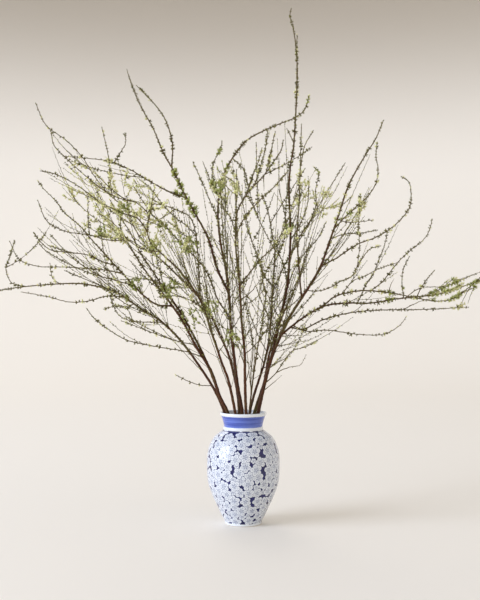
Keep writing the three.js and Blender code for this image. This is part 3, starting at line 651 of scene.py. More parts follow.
class Thicket:
    """Grows every branch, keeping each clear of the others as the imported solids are."""

    def __init__(self, growing: Growing, branches: Sequence[Branch]) -> None:
        """Starts with no wood.

        Args:
            growing: how the wood grows.
            branches: the branches to grow.
        """
        self.growing = growing
        self.branches = branches
        self.limbs: dict[str, list[Limb]] = {branch.name: [] for branch in branches}
        self.starts = np.zeros((0, 3))
        self.ends = np.zeros((0, 3))
        self.girths = np.zeros(0)
        self.owners = np.zeros(0, dtype=int)
        self.carriers: list[Limb] = []

    def grow(self) -> dict[str, list[Limb]]:
        """Grows the stems first, then the larger shoots and the small shoots.

        Returns:
            The limbs of each branch by its name.
        """
        for index, branch in enumerate(self.branches):
            self.keep(self.stem(branch), index)
        for index, branch in enumerate(self.branches):
            for shoot in branch.shoots:
                limb = self.shoot(shoot, index)
                if limb is not None:
                    self.keep(limb, index)
        for index, branch in enumerate(self.branches):
            dice = Dice(branch.seed)
            for _ in range(branch.sprouts):
                limb = self.sprout(index, dice)
                if limb is not None:
                    self.keep(limb, index)
        return self.limbs

    def keep(self, limb: Limb, index: int) -> None:
        """Adds a limb to its branch and to what later growth keeps clear of.

        Args:
            limb: the new wood.
            index: which branch.
        """
        self.limbs[self.branches[index].name].append(limb)
        count = len(limb.rings) - 1
        self.starts = np.vstack((self.starts, limb.rings[:-1]))
        self.ends = np.vstack((self.ends, limb.rings[1:]))
        self.girths = np.concatenate((self.girths, np.maximum(limb.girths[:-1], limb.girths[1:])))
        self.owners = np.concatenate((self.owners, np.full(count, index)))
        self.carriers.extend([limb] * count)

    def clears(self, limb: Limb, index: int) -> bool:
        """Tells whether a limb keeps clear of the other branches.

        Args:
            limb: the new wood.
            index: which branch it belongs to.

        Returns:
            Whether it does, with the clearance to spare.
        """
        others = self.owners != index
        starts, ends, girths = self.starts[others], self.ends[others], self.girths[others]
        for ring in range(len(limb.rings) - 1):
            girth = max(limb.girths[ring], limb.girths[ring + 1])
            room = girth + girths + self.growing.clearance
            if np.any(stretch_distances(limb.rings[ring], limb.rings[ring + 1], starts, ends) < room):
                return False
        return True

    def limb(self, controls: np.ndarray, order: Order, root_girth: float, tip_girth: float) -> Limb:
        """Makes a limb along its controls.

        Args:
            controls: the points that it passes through.
            order: a stem, shoot or twig.
            root_girth: half its thickness at the root.
            tip_girth: half its thickness at the tip.

        Returns:
            The limb, with the solid's rings and the smooth course.
        """
        growing = self.growing
        spacing = growing.stem_ring_spacing if order is Order.STEM else growing.shoot_ring_spacing
        chord = float(np.linalg.norm(np.diff(controls, axis=0), axis=1).sum())
        count = max(growing.fewest_rings, math.floor(chord / spacing + 0.5))
        shares = np.linspace(0, 1, count + 1)
        girths = tip_girth + (root_girth - tip_girth) * (1 - shares)
        course = smooth_curve(controls, max(count, round(chord / growing.course_step)))
        return Limb(order, smooth_curve(controls, count), girths, course, root_girth, tip_girth)

    def route(self, written: str, root_depth: float, tip_depth: float) -> np.ndarray:
        """Puts a route in space, its depth easing from the root's to the tip's.

        Args:
            written: its grid points from root to tip.
            root_depth: depth at the root.
            tip_depth: depth at the tip.

        Returns:
            The points in millimetres.
        """
        grid = grid_points(written)
        travelled = distances_along(grid)
        shares = (travelled / travelled[-1]) ** self.growing.depth_ease
        depths = root_depth + (tip_depth - root_depth) * shares
        return np.array([VIEW.place(point, depth) for point, depth in zip(grid, depths)])

    def stem(self, branch: Branch) -> Limb:
        """Grows a stem from its foot on the vase's floor through the neck and along its route.

        Args:
            branch: what the stem belongs to.

        Returns:
            The stem.
        """
        growing = self.growing
        route = self.route(branch.stem, branch.lip, branch.tip)
        lip = route[0]
        angle = math.atan2(lip[1], lip[0]) + growing.foot_twist
        ring = min(growing.foot_ring, math.hypot(lip[0], lip[1]))
        foot = np.array((ring * math.cos(angle), ring * math.sin(angle), growing.foot_height))
        neck = foot + (lip - foot) * (growing.neck_height - foot[2]) / (lip[2] - foot[2])
        widest = growing.neck_inner - branch.girth - growing.neck_margin
        neck[:2] *= min(1, widest / math.hypot(neck[0], neck[1]))
        controls = np.vstack((foot, neck, route))
        return self.limb(controls, Order.STEM, branch.girth, growing.stem_tip_girth)

    def shoot(self, shoot: Shoot, index: int) -> Limb | None:
        """Grows a larger shoot, bent to the first depth that is clear of the other branches.

        Args:
            shoot: its route and girth.
            index: which branch.

        Returns:
            The shoot, or nothing if no depth is clear.
        """
        growing = self.growing
        root, girth, carrier = self.root_near(grid_points(shoot.route)[0], index)
        root_girth = min(shoot.girth, girth * growing.root_share)
        depths = [shoot.depth]
        for step in range(1, growing.depth_tries + 1):
            depths += [shoot.depth - step * growing.depth_step, shoot.depth + step * growing.depth_step]
        for depth in depths:
            if abs(depth) > growing.deepest:
                continue
            controls = self.route(shoot.route, root[1], depth)
            controls[0] = root
            limb = self.limb(controls, Order.SHOOT, root_girth, growing.tip_girth)
            if self.clears(limb, index):
                return self.join(limb, carrier)
        return None

    def sprout(self, index: int, dice: Dice) -> Limb | None:
        """Grows a small shoot from a random place on the branch, curving up towards the light.

        Args:
            index: which branch.
            dice: the draws come from here.

        Returns:
            The shoot, or nothing if no draw is clear.
        """
        mine = np.flatnonzero((self.owners == index) & (self.starts[:, 2] > SPROUTS.lowest))
        for _ in range(SPROUTS.tries):
            stretch = mine[math.floor(dice.next() * len(mine))]
            start, end = self.starts[stretch], self.ends[stretch]
            root = start + (end - start) * dice.next()
            controls = SPROUTS.controls(root, unit(end - start), dice)
            root_girth = min(SPROUTS.girth, self.girths[stretch] * self.growing.root_share)
            limb = self.limb(controls, Order.SHOOT, root_girth, self.growing.tip_girth)
            if SPROUTS.holds(controls) and self.clears(limb, index):
                return self.join(limb, self.carriers[stretch])
        return None

    def join(self, limb: Limb, carrier: Limb) -> Limb:
        """Moves a limb's root onto the smooth course of the wood that carries it."""
        gaps = np.linalg.norm(carrier.course - limb.course[0], axis=1)
        return limb.rooted_at(carrier.course[int(np.argmin(gaps))], self.growing.root_ease)

    def root_near(self, point: np.ndarray, index: int) -> tuple[np.ndarray, float, Limb]:
        """Finds the place on a branch's wood that the eye sees nearest to a grid point.

        Args:
            point: column and row.
            index: which branch.

        Returns:
            The place, the half thickness there and the limb that it is on.
        """
        mine = np.flatnonzero(self.owners == index)
        starts = VIEW.spots(self.starts[mine])
        along = VIEW.spots(self.ends[mine]) - starts
        offset = point - starts
        squares = np.einsum("ij,ij->i", along, along)
        shares = np.clip(np.einsum("ij,ij->i", offset, along) / squares, 0, 1)
        gaps = np.linalg.norm(offset - along * shares[:, None], axis=1)
        best = int(np.argmin(gaps))
        stretch = mine[best]
        place = self.starts[stretch] + (self.ends[stretch] - self.starts[stretch]) * shares[best]
        return place, float(self.girths[stretch]), self.carriers[stretch]

    def add_twigs(
        self, withes: int, crossers: int, per_metre: float, spurs_per_metre: float, seed_step: int
    ) -> None:
        """Adds the traced fine twigs, then random withes on the stems, and twigs and spurs on every limb.

        Args:
            withes: how many long withes grow on the lower half of a stem.
            crossers: how many twigs lean out across the gaps between the stems.
            per_metre: how many random twigs grow on a metre of wood.
            spurs_per_metre: how many spurs grow on a metre of wood where the buds are pale.
            seed_step: what is added to a branch's seed for these draws.
        """
        for index, branch in enumerate(self.branches):
            for depth, route in TRACED_TWIGS.get(branch.name, ()):
                root, girth, carrier = self.root_near(grid_points(route)[0], index)
                controls = self.route(route, root[1], depth)
                controls[0] = root
                twig = self.limb(controls, Order.TWIG, min(TRACED_GIRTH, girth), TWIGS.tip_girth)
                self.limbs[branch.name].append(self.join(twig, carrier))
            dice = Dice(branch.seed + seed_step)
            limbs = self.limbs[branch.name]
            for _ in range(withes):
                limbs.extend(self.fine_wood(WITHES, limbs[0], dice))
            for _ in range(crossers):
                limbs.extend(self.fine_wood(CROSSERS, limbs[0], dice))
            for carrier in list(limbs):
                count = round(carrier.length * METRE * per_metre * (FEWEST_SHARE + MORE_SHARE * dice.next()))
                for _ in range(count):
                    grown = self.fine_wood(TWIGS, carrier, dice)
                    limbs.extend(grown)
                    if grown and dice.next() < NESTED_SHARE:
                        limbs.extend(self.fine_wood(TWIGS, grown[0], dice))
            for carrier in list(limbs):
                for _ in range(round(carrier.length * METRE * spurs_per_metre)):
                    limbs.extend(self.spur(carrier, dice))

    def fine_wood(self, rule: SproutRule, carrier: Limb, dice: Dice) -> list[Limb]:
        """Grows a fine twig or withe on a limb.

        Args:
            rule: what it is drawn from.
            carrier: the limb that carries it.
            dice: the draws come from here.

        Returns:
            The new limb in a list, or an empty list if no draw stays within the arrangement.
        """
        for _ in range(rule.tries):
            station = carrier.length * dice.between(rule.stretch)
            root = carrier.at(station)
            if root[2] < rule.lowest or dice.next() > self.bushiness(root):
                continue
            controls = rule.controls(root, carrier.heading(station), dice)
            if rule.clears(controls):
                root_girth = min(rule.girth, carrier.girth_at(station) * self.growing.root_share)
                return [self.limb(controls, Order.TWIG, root_girth, rule.tip_girth)]
        return []

    def spur(self, carrier: Limb, dice: Dice) -> list[Limb]:
        """Grows a spur at a random place on a limb, if the buds there are pale.

        Args:
            carrier: the limb.
            dice: the draws come from here.

        Returns:
            The spur in a list, or an empty list.
        """
        station = carrier.length * dice.next()
        root = carrier.at(station)
        controls = SPURS.controls(root, carrier.heading(station), dice)
        if not is_among(PALE_SPOTS, root) or not SPURS.clears(controls):
            return []
        return [self.limb(controls, Order.SPUR, SPURS.girth, SPURS.tip_girth)]

    def bushiness(self, place: np.ndarray) -> float:
        """Gives the share of the drawn twigs that a place on the wood keeps."""
        return 1.0 if is_among(BUSHY_SPOTS, place) else self.growing.outer_share


MATH = "ShaderNodeMath"
VECTOR_MATH = "ShaderNodeVectorMath"
MIX = "ShaderNodeMix"
MAP_RANGE = "ShaderNodeMapRange"
NOISE = "ShaderNodeTexNoise"
ATTRIBUTE = "ShaderNodeAttribute"
BUMP = "ShaderNodeBump"
PRINCIPLED = "ShaderNodeBsdfPrincipled"
NAMED = "GeometryNodeInputNamedAttribute"
STORED = "GeometryNodeStoreNamedAttribute"
AddNode = Callable[..., Node]
BLOSSOM_LAYERS = ("blossom_low", "blossom_middle", "blossom_top")


def linear(colour: str) -> tuple[float, float, float, float]:
    """Turns an sRGB hex colour into the linear values that sockets take.

    Args:
        colour: six hex digits after a hash.

    Returns:
        Red, green, blue and alpha.
    """
    channels = (int(colour[start:start + 2], 16) / 255 for start in (1, 3, 5))
    red, green, blue = (c / 12.92 if c <= 0.04045 else ((c + 0.055) / 1.055) ** 2.4 for c in channels)
    return red, green, blue, 1.0


def add_node(
    tree: NodeTree, kind: str, *places: object, named: Mapping[str, object] | None = None, **settings: object
) -> Node:
    """Adds a node with its settings, and sets or links its inputs.

    Args:
        tree: where the node goes.
        kind: the node's type.
        places: what goes into its shown inputs in order: a constant, a socket, or a node, which stands
            for its first output.
        named: the same by an input's name.
        settings: the node's own properties.

    Returns:
        The node.
    """
    node = tree.nodes.new(kind)
    for name, value in settings.items():
        setattr(node, name, value)
    for key, value in (*enumerate(places), *(named or {}).items()):
        shown = [socket for socket in node.inputs if socket.enabled]
        target = shown[key] if isinstance(key, int) else next(s for s in shown if s.name == key)
        if isinstance(value, Node):
            value = next(socket for socket in value.outputs if socket.enabled)
        if isinstance(value, NodeSocket):
            tree.links.new(value, target)
        else:
            target.default_value = value
    return node


def new_material(name: str) -> tuple[Material, AddNode]:
    """Makes an empty node material.

    Args:
        name: what the finish is called.

    Returns:
        The material, and what adds nodes to it.
    """
    material = bpy.data.materials.new(name)
    material.use_nodes = True
    material.node_tree.nodes.clear()
    return material, partial(add_node, material.node_tree)


@dataclass(frozen=True)
class MeadowsweetBark:
    """Thin smooth bark: satin red-brown on the old wood, olive in patches, grey-brown on the twigs."""

    old: str = "#5e310f"
    dark: str = "#211004"
    olive: str = "#58531d"
    twig: str = "#5f5231"
    pale: str = "#887d58"
    streak_width: float = 1.1
    streak_length: float = 14.0
    patch: float = 110.0
    lenticel: float = 3.2
    flatness: float = 1.6
    relief: float = 0.25

    def material(self) -> Material:
        """Builds the bark: streaks along the grain, pale pores across it, and patches of young olive.

        Returns:
            The material.
        """
        material, add = new_material("meadowsweet_bark")
        grain = add(ATTRIBUTE, attribute_name="grain").outputs["Vector"]
        age = add(ATTRIBUTE, attribute_name="age").outputs["Fac"]
        fine = (1 / self.streak_width, 1 / self.streak_width, 1 / self.streak_length)
        along = add(VECTOR_MATH, grain, fine, operation="MULTIPLY")
        streaks = add(NOISE, named={"Vector": along, "Scale": 1.0, "Detail": 4.0})
        wide = (1 / self.patch,) * 3
        broad = add(VECTOR_MATH, grain, wide, operation="MULTIPLY")
        patches = add(NOISE, named={"Vector": broad, "Scale": 1.0, "Detail": 2.0})
        mottled = add(MAP_RANGE, streaks, 0.3, 0.68)
        brown = add(MIX, mottled, linear(self.dark), linear(self.old), data_type="RGBA")
        green = add(MAP_RANGE, patches, 0.5, 0.66, 0.0, 0.75)
        stained = add(MIX, green, brown, linear(self.olive), data_type="RGBA")
        young = add(MAP_RANGE, age, 0.68, 0.2)
        wood = add(MIX, young, stained, linear(self.twig), data_type="RGBA")
        pore_scale = (1 / self.lenticel, 1 / self.lenticel, self.flatness / self.lenticel)
        across = add(VECTOR_MATH, grain, pore_scale, operation="MULTIPLY")
        pores = add("ShaderNodeTexVoronoi", named={"Vector": across, "Scale": 1.0})
        spots = add(MAP_RANGE, pores, 0.2, 0.12, 0.0, 0.55)
        colour = add(MIX, spots, wood, linear(self.pale), data_type="RGBA")
        height = add(MATH, streaks, spots, operation="ADD")
        bump = add(BUMP, named={"Strength": 0.8, "Distance": self.relief * METRE, "Height": height})
        surface = add(PRINCIPLED, named={"Base Color": colour, "Roughness": 0.62, "IOR": 1.36,
            "Normal": bump})
        add("ShaderNodeOutputMaterial", named={"Surface": surface})
        return material


@dataclass(frozen=True)
class LivingBlade:
    """Young leaf tissue: soft satin, paler on the midrib and towards the tip."""

    name: str
    deep: str
    fresh: str
    tip: str
    roughness: float
    vein: float = 0.22

    def material(self) -> Material:
        """Builds the tissue from each blade's own coordinates and its bunch's tone.

        Returns:
            The material.
        """
        material, add = new_material(self.name)
        place = add(ATTRIBUTE, attribute_name="blade").outputs["Vector"]
        tone = add(ATTRIBUTE, attribute_name="tone").outputs["Fac"]
        parts = add("ShaderNodeSeparateXYZ", place)
        shade = add(MIX, tone, linear(self.deep), linear(self.fresh), data_type="RGBA")
        outer = add(MAP_RANGE, parts.outputs["Y"], 0.35, 1.0, 0.0, 0.6)
        body = add(MIX, outer, shade, linear(self.tip), data_type="RGBA")
        side = add(MATH, parts.outputs["X"], operation="ABSOLUTE")
        rib = add(MAP_RANGE, side, self.vein, 0.0, 0.0, 0.4)
        colour = add(MIX, rib, body, linear(self.tip), data_type="RGBA")
        bump = add(BUMP, named={"Strength": 0.3, "Distance": 0.2 * METRE, "Height": rib})
        surface = add(PRINCIPLED, named={"Base Color": colour, "Roughness": self.roughness, "IOR": 1.42,
            "Subsurface Weight": 0.08, "Normal": bump})
        surface.inputs["Subsurface Radius"].default_value = (0.6 * METRE, METRE, 0.3 * METRE)
        surface.inputs["Subsurface Scale"].default_value = 1.0
        add("ShaderNodeOutputMaterial", named={"Surface": surface})
        return material


BLADE_FINISHES = {
    Growth.BUD: LivingBlade("bud_scales", deep="#3c381b", fresh="#706c31", tip="#a29e52", roughness=0.55),
    Growth.LEAF: LivingBlade("fresh_leaf", deep="#86903a", fresh="#b3b958", tip="#dbdc9c", roughness=0.45),
    Growth.PALE: LivingBlade("pale_bud", deep="#dcda8c", fresh="#efeca6", tip="#f9f6cf", roughness=0.5),
}


@dataclass(frozen=True)
class VaseWater:
    """Still clear water: colourless, with a mirror-smooth surface."""

    colour: str = "#eef6f5"
    swell_width: float = 30.0

    def material(self) -> Material:
        """Builds the water, broken by a faint swell so that its surface isn't a perfect plane.

        Returns:
            The material.
        """
        material, add = new_material("still_water")
        place = add("ShaderNodeTexCoord").outputs["Object"]
        swell = add(NOISE, named={"Vector": place, "Scale": 1 / (self.swell_width * METRE)})
        bump = add(BUMP, named={"Strength": 0.1, "Distance": 0.3 * METRE, "Height": swell})
        surface = add(PRINCIPLED, named={"Base Color": linear(self.colour), "Roughness": 0.02, "IOR": 1.333,
            "Transmission Weight": 1.0, "Normal": bump})
        add("ShaderNodeOutputMaterial", named={"Surface": surface})
        return material


@dataclass(frozen=True)
class StudioPaper:
    """Matt seamless studio paper, pale and warm, with painted shade that darkens it towards its top."""

    colour: str = "#f5efe5"
    # painted shade: the darker colour that the paper takes at its top
    top_shade_colour: str = "#b4aa9b"
    top_shade_heights: Span = (1.7, 4.2)
    fibre: float = 2.5

    def material(self) -> Material:
        """Builds the paper with a trace of fibre, and painted shade that darkens its colour with height.

        Returns:
            The material.
        """
        material, add = new_material("seamless_paper")
        place = add("ShaderNodeTexCoord").outputs["Object"]
        fibres = add(NOISE, named={"Vector": place, "Scale": 1 / (self.fibre * METRE)})
        bump = add(BUMP, named={"Strength": 0.05, "Distance": 0.1 * METRE, "Height": fibres})
        parts = add("ShaderNodeSeparateXYZ", place)
        low, high = self.top_shade_heights
        # painted shade: the paper's colour darkens between these two heights
        height = add(MAP_RANGE, parts.outputs["Z"], low, high, interpolation_type="SMOOTHSTEP")
        shade = add(MIX, height, linear(self.colour), linear(self.top_shade_colour), data_type="RGBA")
        surface = add(PRINCIPLED, named={"Base Color": shade, "Roughness": 0.9, "Normal": bump})
        add("ShaderNodeOutputMaterial", named={"Surface": surface})
        return material


@dataclass(frozen=True)
class PlumBlossom:
    """One painted five-petal blossom, its sizes as shares of its reach."""

    petals: int = 5
    petal_centre: float = 0.57
    petal_reach: float = 0.42
    heart: float = 0.26
    line: float = 0.05
    crease_line: float = 0.0225
    eye: float = 0.1
    stamens: int = 10
    stamen_from: float = 0.15
    stamen_to: float = 0.36
    stamen_line: float = 0.022
    anther: float = 0.045
    vein_line: float = 0.018
    vein_from: float = 0.46
    vein_to: float = 0.84
    side_vein_to: float = 0.78
    vein_spread: float = 0.24

    def group(self) -> NodeTree:
        """Builds the node group: a place relative to the blossom goes in, its cover, line and wash come out.

        Returns:
            The group.
        """
        tree = bpy.data.node_groups.new("plum_blossom", "ShaderNodeTree")
        add = partial(add_node, tree)
        tree.interface.new_socket("Place", in_out="INPUT", socket_type="NodeSocketVector")
        for name in ("Cover", "Line", "Wash"):
            tree.interface.new_socket(name, in_out="OUTPUT", socket_type="NodeSocketFloat")
        source = add("NodeGroupInput")
        parts = add("ShaderNodeSeparateXYZ", source)
        flat = add(VECTOR_MATH, source, (1, 1, 0), operation="MULTIPLY")
        reach = add(VECTOR_MATH, flat, operation="LENGTH").outputs["Value"]
        bearing = add(MATH, parts.outputs["Y"], parts.outputs["X"], operation="ARCTAN2")
        angle = add(MATH, parts.outputs["Z"], FULL_TURN, bearing, operation="MULTIPLY_ADD")
        half = math.pi / self.petals
        folded = self.folded(add, angle, half)
        petal_x, petal_y = self.flattened(add, reach, folded)
        petal = self.disc(add, petal_x, petal_y, self.petal_centre, self.petal_reach)
        heart = add(MATH, reach, self.heart, operation="SUBTRACT")
        outside = add(MATH, petal, heart, operation="MINIMUM")
        cover = add(MATH, outside, 0.0, operation="LESS_THAN")
        outline = add(MATH, outside, -self.line, operation="GREATER_THAN")
        crease_angle = add(MATH, half, folded, operation="SUBTRACT")
        _, crease_gap = self.flattened(add, reach, crease_angle)
        crease = self.band(add, crease_gap, reach, self.crease_line, self.heart, 1.0)
        vein = self.band(add, petal_y, reach, self.vein_line, self.vein_from, self.vein_to)
        side_angle = add(MATH, folded, self.vein_spread, operation="SUBTRACT")
        side_turn = add(MATH, side_angle, operation="ABSOLUTE")
        _, side_gap = self.flattened(add, reach, side_turn)
        side_vein = self.band(add, side_gap, reach, self.vein_line, self.vein_from, self.side_vein_to)
        spoke_angle = self.folded(add, angle, math.pi / self.stamens)
        spoke_x, spoke_y = self.flattened(add, reach, spoke_angle)
        stamen = self.band(add, spoke_y, reach, self.stamen_line, self.stamen_from, self.stamen_to)
        anther_gap = self.disc(add, spoke_x, spoke_y, self.stamen_to, self.anther)
        anther = add(MATH, anther_gap, 0.0, operation="LESS_THAN")
        eye_gap = add(MATH, reach, self.eye, operation="SUBTRACT")
        eye_side = add(MATH, eye_gap, operation="ABSOLUTE")
        eye = add(MATH, eye_side, self.stamen_line, operation="LESS_THAN")
        line = outline
        for mark in (crease, vein, side_vein, stamen, anther, eye):
            line = add(MATH, line, mark, operation="MAXIMUM")
        wash = add(MAP_RANGE, reach, 0.65, 0.1, 0.0, 1.0)
        add("NodeGroupOutput", named={"Cover": cover, "Line": line, "Wash": wash})
        return tree

    def folded(self, add: AddNode, angle: Node, half: float) -> Node:
        """Folds an angle into the half sector of a repeated mark, nought on the mark's own axis.

        Args:
            add: adds the nodes.
            angle: the angle.
            half: half a sector.

        Returns:
            The folded angle.
        """
        turned = add(MATH, angle, 2 * half, operation="FLOORED_MODULO")
        centred = add(MATH, turned, half, operation="SUBTRACT")
        return add(MATH, centred, operation="ABSOLUTE")

    def flattened(self, add: AddNode, reach: NodeSocket, angle: Node) -> tuple[Node, Node]:
        """Turns a reach and an angle into places along and across the mark's axis.

        Args:
            add: adds the nodes.
            reach: distance from the middle.
            angle: the folded angle.

        Returns:
            The two places.
        """
        cosine = add(MATH, angle, operation="COSINE")
        sine = add(MATH, angle, operation="SINE")
        along = add(MATH, reach, cosine, operation="MULTIPLY")
        across = add(MATH, reach, sine, operation="MULTIPLY")
        return along, across

    def disc(self, add: AddNode, along: Node, across: Node, centre: float, radius: float) -> Node:
        """Measures the gap to a disc that stands on the mark's axis, negative inside it.

        Args:
            add: adds the nodes.
            along: place along the axis.
            across: place across it.
            centre: where the disc stands on it.
            radius: the disc's size.

        Returns:
            The gap.
        """
        offset = add(MATH, along, centre, operation="SUBTRACT")
        point = add("ShaderNodeCombineXYZ", offset, across)
        gap = add(VECTOR_MATH, point, operation="LENGTH").outputs["Value"]
        return add(MATH, gap, radius, operation="SUBTRACT")

    def band(
        self, add: AddNode, across: Node, reach: NodeSocket, width: float, start: float, end: float
    ) -> Node:
        """Marks a fine line along the mark's axis between two reaches.

        Args:
            add: adds the nodes.
            across: place across the axis.
            reach: distance from the middle.
            width: half the line's width.
            start: where it begins.
            end: where it ends.

        Returns:
            One on the line, nought off it.
        """
        near = add(MATH, across, width, operation="LESS_THAN")
        past = add(MATH, reach, start, operation="GREATER_THAN")
        short = add(MATH, reach, end, operation="LESS_THAN")
        both = add(MATH, near, past, operation="MULTIPLY")
        return add(MATH, both, short, operation="MULTIPLY")


@dataclass(frozen=True)
class BlueAndWhitePorcelain:
    """Clear-glazed porcelain over cobalt painting: glossy, blue-white, with a dry unglazed foot ring."""

    white: str = "#e7ecf1"
    petal: str = "#e8edf2"
    wash: str = "#d5deec"
    line: str = "#485682"
    navy: str = "#0b0b44"
    navy_thin: str = "#22236c"
    band: str = "#4a5fb6"
    band_pale: str = "#6f86d8"
    band_deep: str = "#2b3a92"
    biscuit: str = "#cdbfa8"
    # painted shadow: a thin dark line on the body right under the bead, where the bead shades it
    bead_shadow: str = "#4b5076"
    brush_fine: float = 1.4
    brush_long: float = 60.0
    body: Span = (7.0, 245.0)
    neck_band: Span = (253.0, 281.3)
    bead_shadow_line: Span = (242.0, 243.4)
    foot_top: float = 1.2
    pool_width: float = 9.0
    ripple_width: float = 14.0
    ripple_depth: float = 0.4
    wavering: float = 1.2

    def material(self) -> Material:
        """Builds the glaze: packed plum blossoms on navy, a brushed cobalt band and plain white rims.

        Returns:
            The material.
        """
        material, add = new_material("blue_and_white_porcelain")
        place = add("ShaderNodeTexCoord").outputs["Object"]
        height = add("ShaderNodeSeparateXYZ", place).outputs["Z"]
        outside = add(ATTRIBUTE, attribute_name="outside").outputs["Fac"]
        pooling = add(NOISE, named={"Vector": place, "Scale": 1 / (self.pool_width * METRE), "Detail": 3.0})
        thin = add(MAP_RANGE, pooling, 0.35, 0.75)
        painting = add(MIX, thin, linear(self.navy), linear(self.navy_thin), data_type="RGBA")
        blossom = PlumBlossom().group()
        for layer in BLOSSOM_LAYERS:
            relative = add(ATTRIBUTE, attribute_name=layer).outputs["Vector"]
            drawn = add("ShaderNodeGroup", relative, node_tree=blossom)
            tint = add(MATH, drawn.outputs["Wash"], thin, operation="MULTIPLY")
            petal = add(MIX, tint, linear(self.petal), linear(self.wash), data_type="RGBA")
            lined = add(MIX, drawn.outputs["Line"], petal, linear(self.line), data_type="RGBA")
            painting = add(MIX, drawn.outputs["Cover"], painting, lined, data_type="RGBA")
        stretched = (self.brush_fine / self.brush_long, self.brush_fine / self.brush_long, 1.0)
        swept = add(VECTOR_MATH, place, stretched, operation="MULTIPLY")
        strokes = add(NOISE, named={"Vector": swept, "Scale": 1 / (self.brush_fine * METRE * 2),
            "Detail": 4.0, "Roughness": 0.65})
        light = add(MAP_RANGE, strokes, 0.42, 0.7)
        brushed = add(MIX, light, linear(self.band), linear(self.band_pale), data_type="RGBA")
        dark = add(MAP_RANGE, strokes, 0.46, 0.3, 0.0, 0.85)
        cobalt = add(MIX, dark, brushed, linear(self.band_deep), data_type="RGBA")
        colour = linear(self.white)
        # the dark line under the bead is painted shadow
        bead_shadow = linear(self.bead_shadow)
        for paint, span in ((painting, self.body), (bead_shadow, self.bead_shadow_line), (cobalt, self.neck_band)):
            within = self.within(add, height, span, pooling, outside)
            colour = add(MIX, within, colour, paint, data_type="RGBA")
        bare = add(MATH, height, self.foot_top * METRE, operation="LESS_THAN")
        clay = add(MIX, bare, colour, linear(self.biscuit), data_type="RGBA")
        gloss = add(MAP_RANGE, bare, 0.0, 1.0, 0.2, 0.75)
        ripple = add(NOISE, named={"Vector": place, "Scale": 1 / (self.ripple_width * METRE)})
        bump = add(BUMP, named={"Strength": 0.12, "Distance": self.ripple_depth * METRE,
            "Height": ripple})
        surface = add(PRINCIPLED, named={"Base Color": clay, "Roughness": gloss, "IOR": 1.5,
            "Coat Weight": 0.2, "Coat Roughness": 0.1, "Normal": bump})
        add("ShaderNodeOutputMaterial", named={"Surface": surface})
        return material

    def within(self, add: AddNode, height: NodeSocket, span: Span, waver: Node, outside: NodeSocket) -> Node:
        """Marks the outside of the vase between two heights, its edges wavering as a brush does.

        Args:
            add: adds the nodes.
            height: height in metres.
            span: the two heights in millimetres.
            waver: what the edges follow.
            outside: one on the outer wall.

        Returns:
            One within, nought elsewhere.
        """
        moved = add(MATH, waver, self.wavering * METRE, height, operation="MULTIPLY_ADD")
        above = add(MATH, moved, span[0] * METRE, operation="GREATER_THAN")
        below = add(MATH, moved, span[1] * METRE, operation="LESS_THAN")
        both = add(MATH, above, below, operation="MULTIPLY")
        return add(MATH, both, outside, operation="MULTIPLY")


def set_attribute(mesh: Mesh, name: str, kind: str, values: np.ndarray, domain: str = "POINT") -> None:
    """Stores one value for each point or corner of a mesh.

    Args:
        mesh: the mesh.
        name: the attribute's name.
        kind: its type, a float, whole number or vector.
        values: the values in order.
        domain: whether they belong to points or corners.
    """
    attribute = mesh.attributes.new(name, kind, domain)
    key = "vector" if kind == "FLOAT_VECTOR" else "value"
    attribute.data.foreach_set(key, np.ascontiguousarray(values).ravel())


def new_piece(name: str, mesh: Mesh) -> Object:
    """Puts a mesh in the scene as a named object at the origin.

    Args:
        name: the piece's name.
        mesh: its finished mesh.

    Returns:
        The object.
    """
    piece = bpy.data.objects.new(name, mesh)
    bpy.context.scene.collection.objects.link(piece)
    return piece


def run_tree(name: str, mesh: Mesh, tree: NodeTree, values: Mapping[str, object]) -> Object:
    """Runs a geometry tree on a mesh and keeps what it makes as a plain mesh.

    Args:
        name: the finished piece's name.
        mesh: what the tree starts from.
        tree: the geometry tree.
        values: its inputs by name.

    Returns:
        The finished piece, without a modifier.
    """
    carrier = new_piece(f"{name}_course", mesh)
    modifier = carrier.modifiers.new("growth", "NODES")
    modifier.node_group = tree
    sockets = {item.name: item.identifier for item in tree.interface.items_tree
        if item.item_type == "SOCKET" and item.in_out == "INPUT"}
    for key, value in values.items():
        modifier[sockets[key]] = value
    depsgraph = bpy.context.evaluated_depsgraph_get()
    grown = carrier.evaluated_get(depsgraph)
    finished = bpy.data.meshes.new_from_object(grown, preserve_all_data_layers=True, depsgraph=depsgraph)
    finished.name = name
    carrier.modifiers.remove(modifier)
    bpy.data.objects.remove(carrier)
    return new_piece(name, finished)


def new_geometry_tree(name: str, inputs: Mapping[str, str]) -> tuple[NodeTree, AddNode]:
    """Makes a geometry tree with named inputs.

    Args:
        name: the tree's name.
        inputs: socket types by input name, after the geometry itself.

    Returns:
        The tree, and what adds nodes to it.
    """
    tree = bpy.data.node_groups.new(name, "GeometryNodeTree")
    tree.interface.new_socket("Geometry", in_out="INPUT", socket_type="NodeSocketGeometry")
    tree.interface.new_socket("Geometry", in_out="OUTPUT", socket_type="NodeSocketGeometry")
    for label, kind in inputs.items():
        tree.interface.new_socket(label, in_out="INPUT", socket_type=kind)
    return tree, partial(add_node, tree)


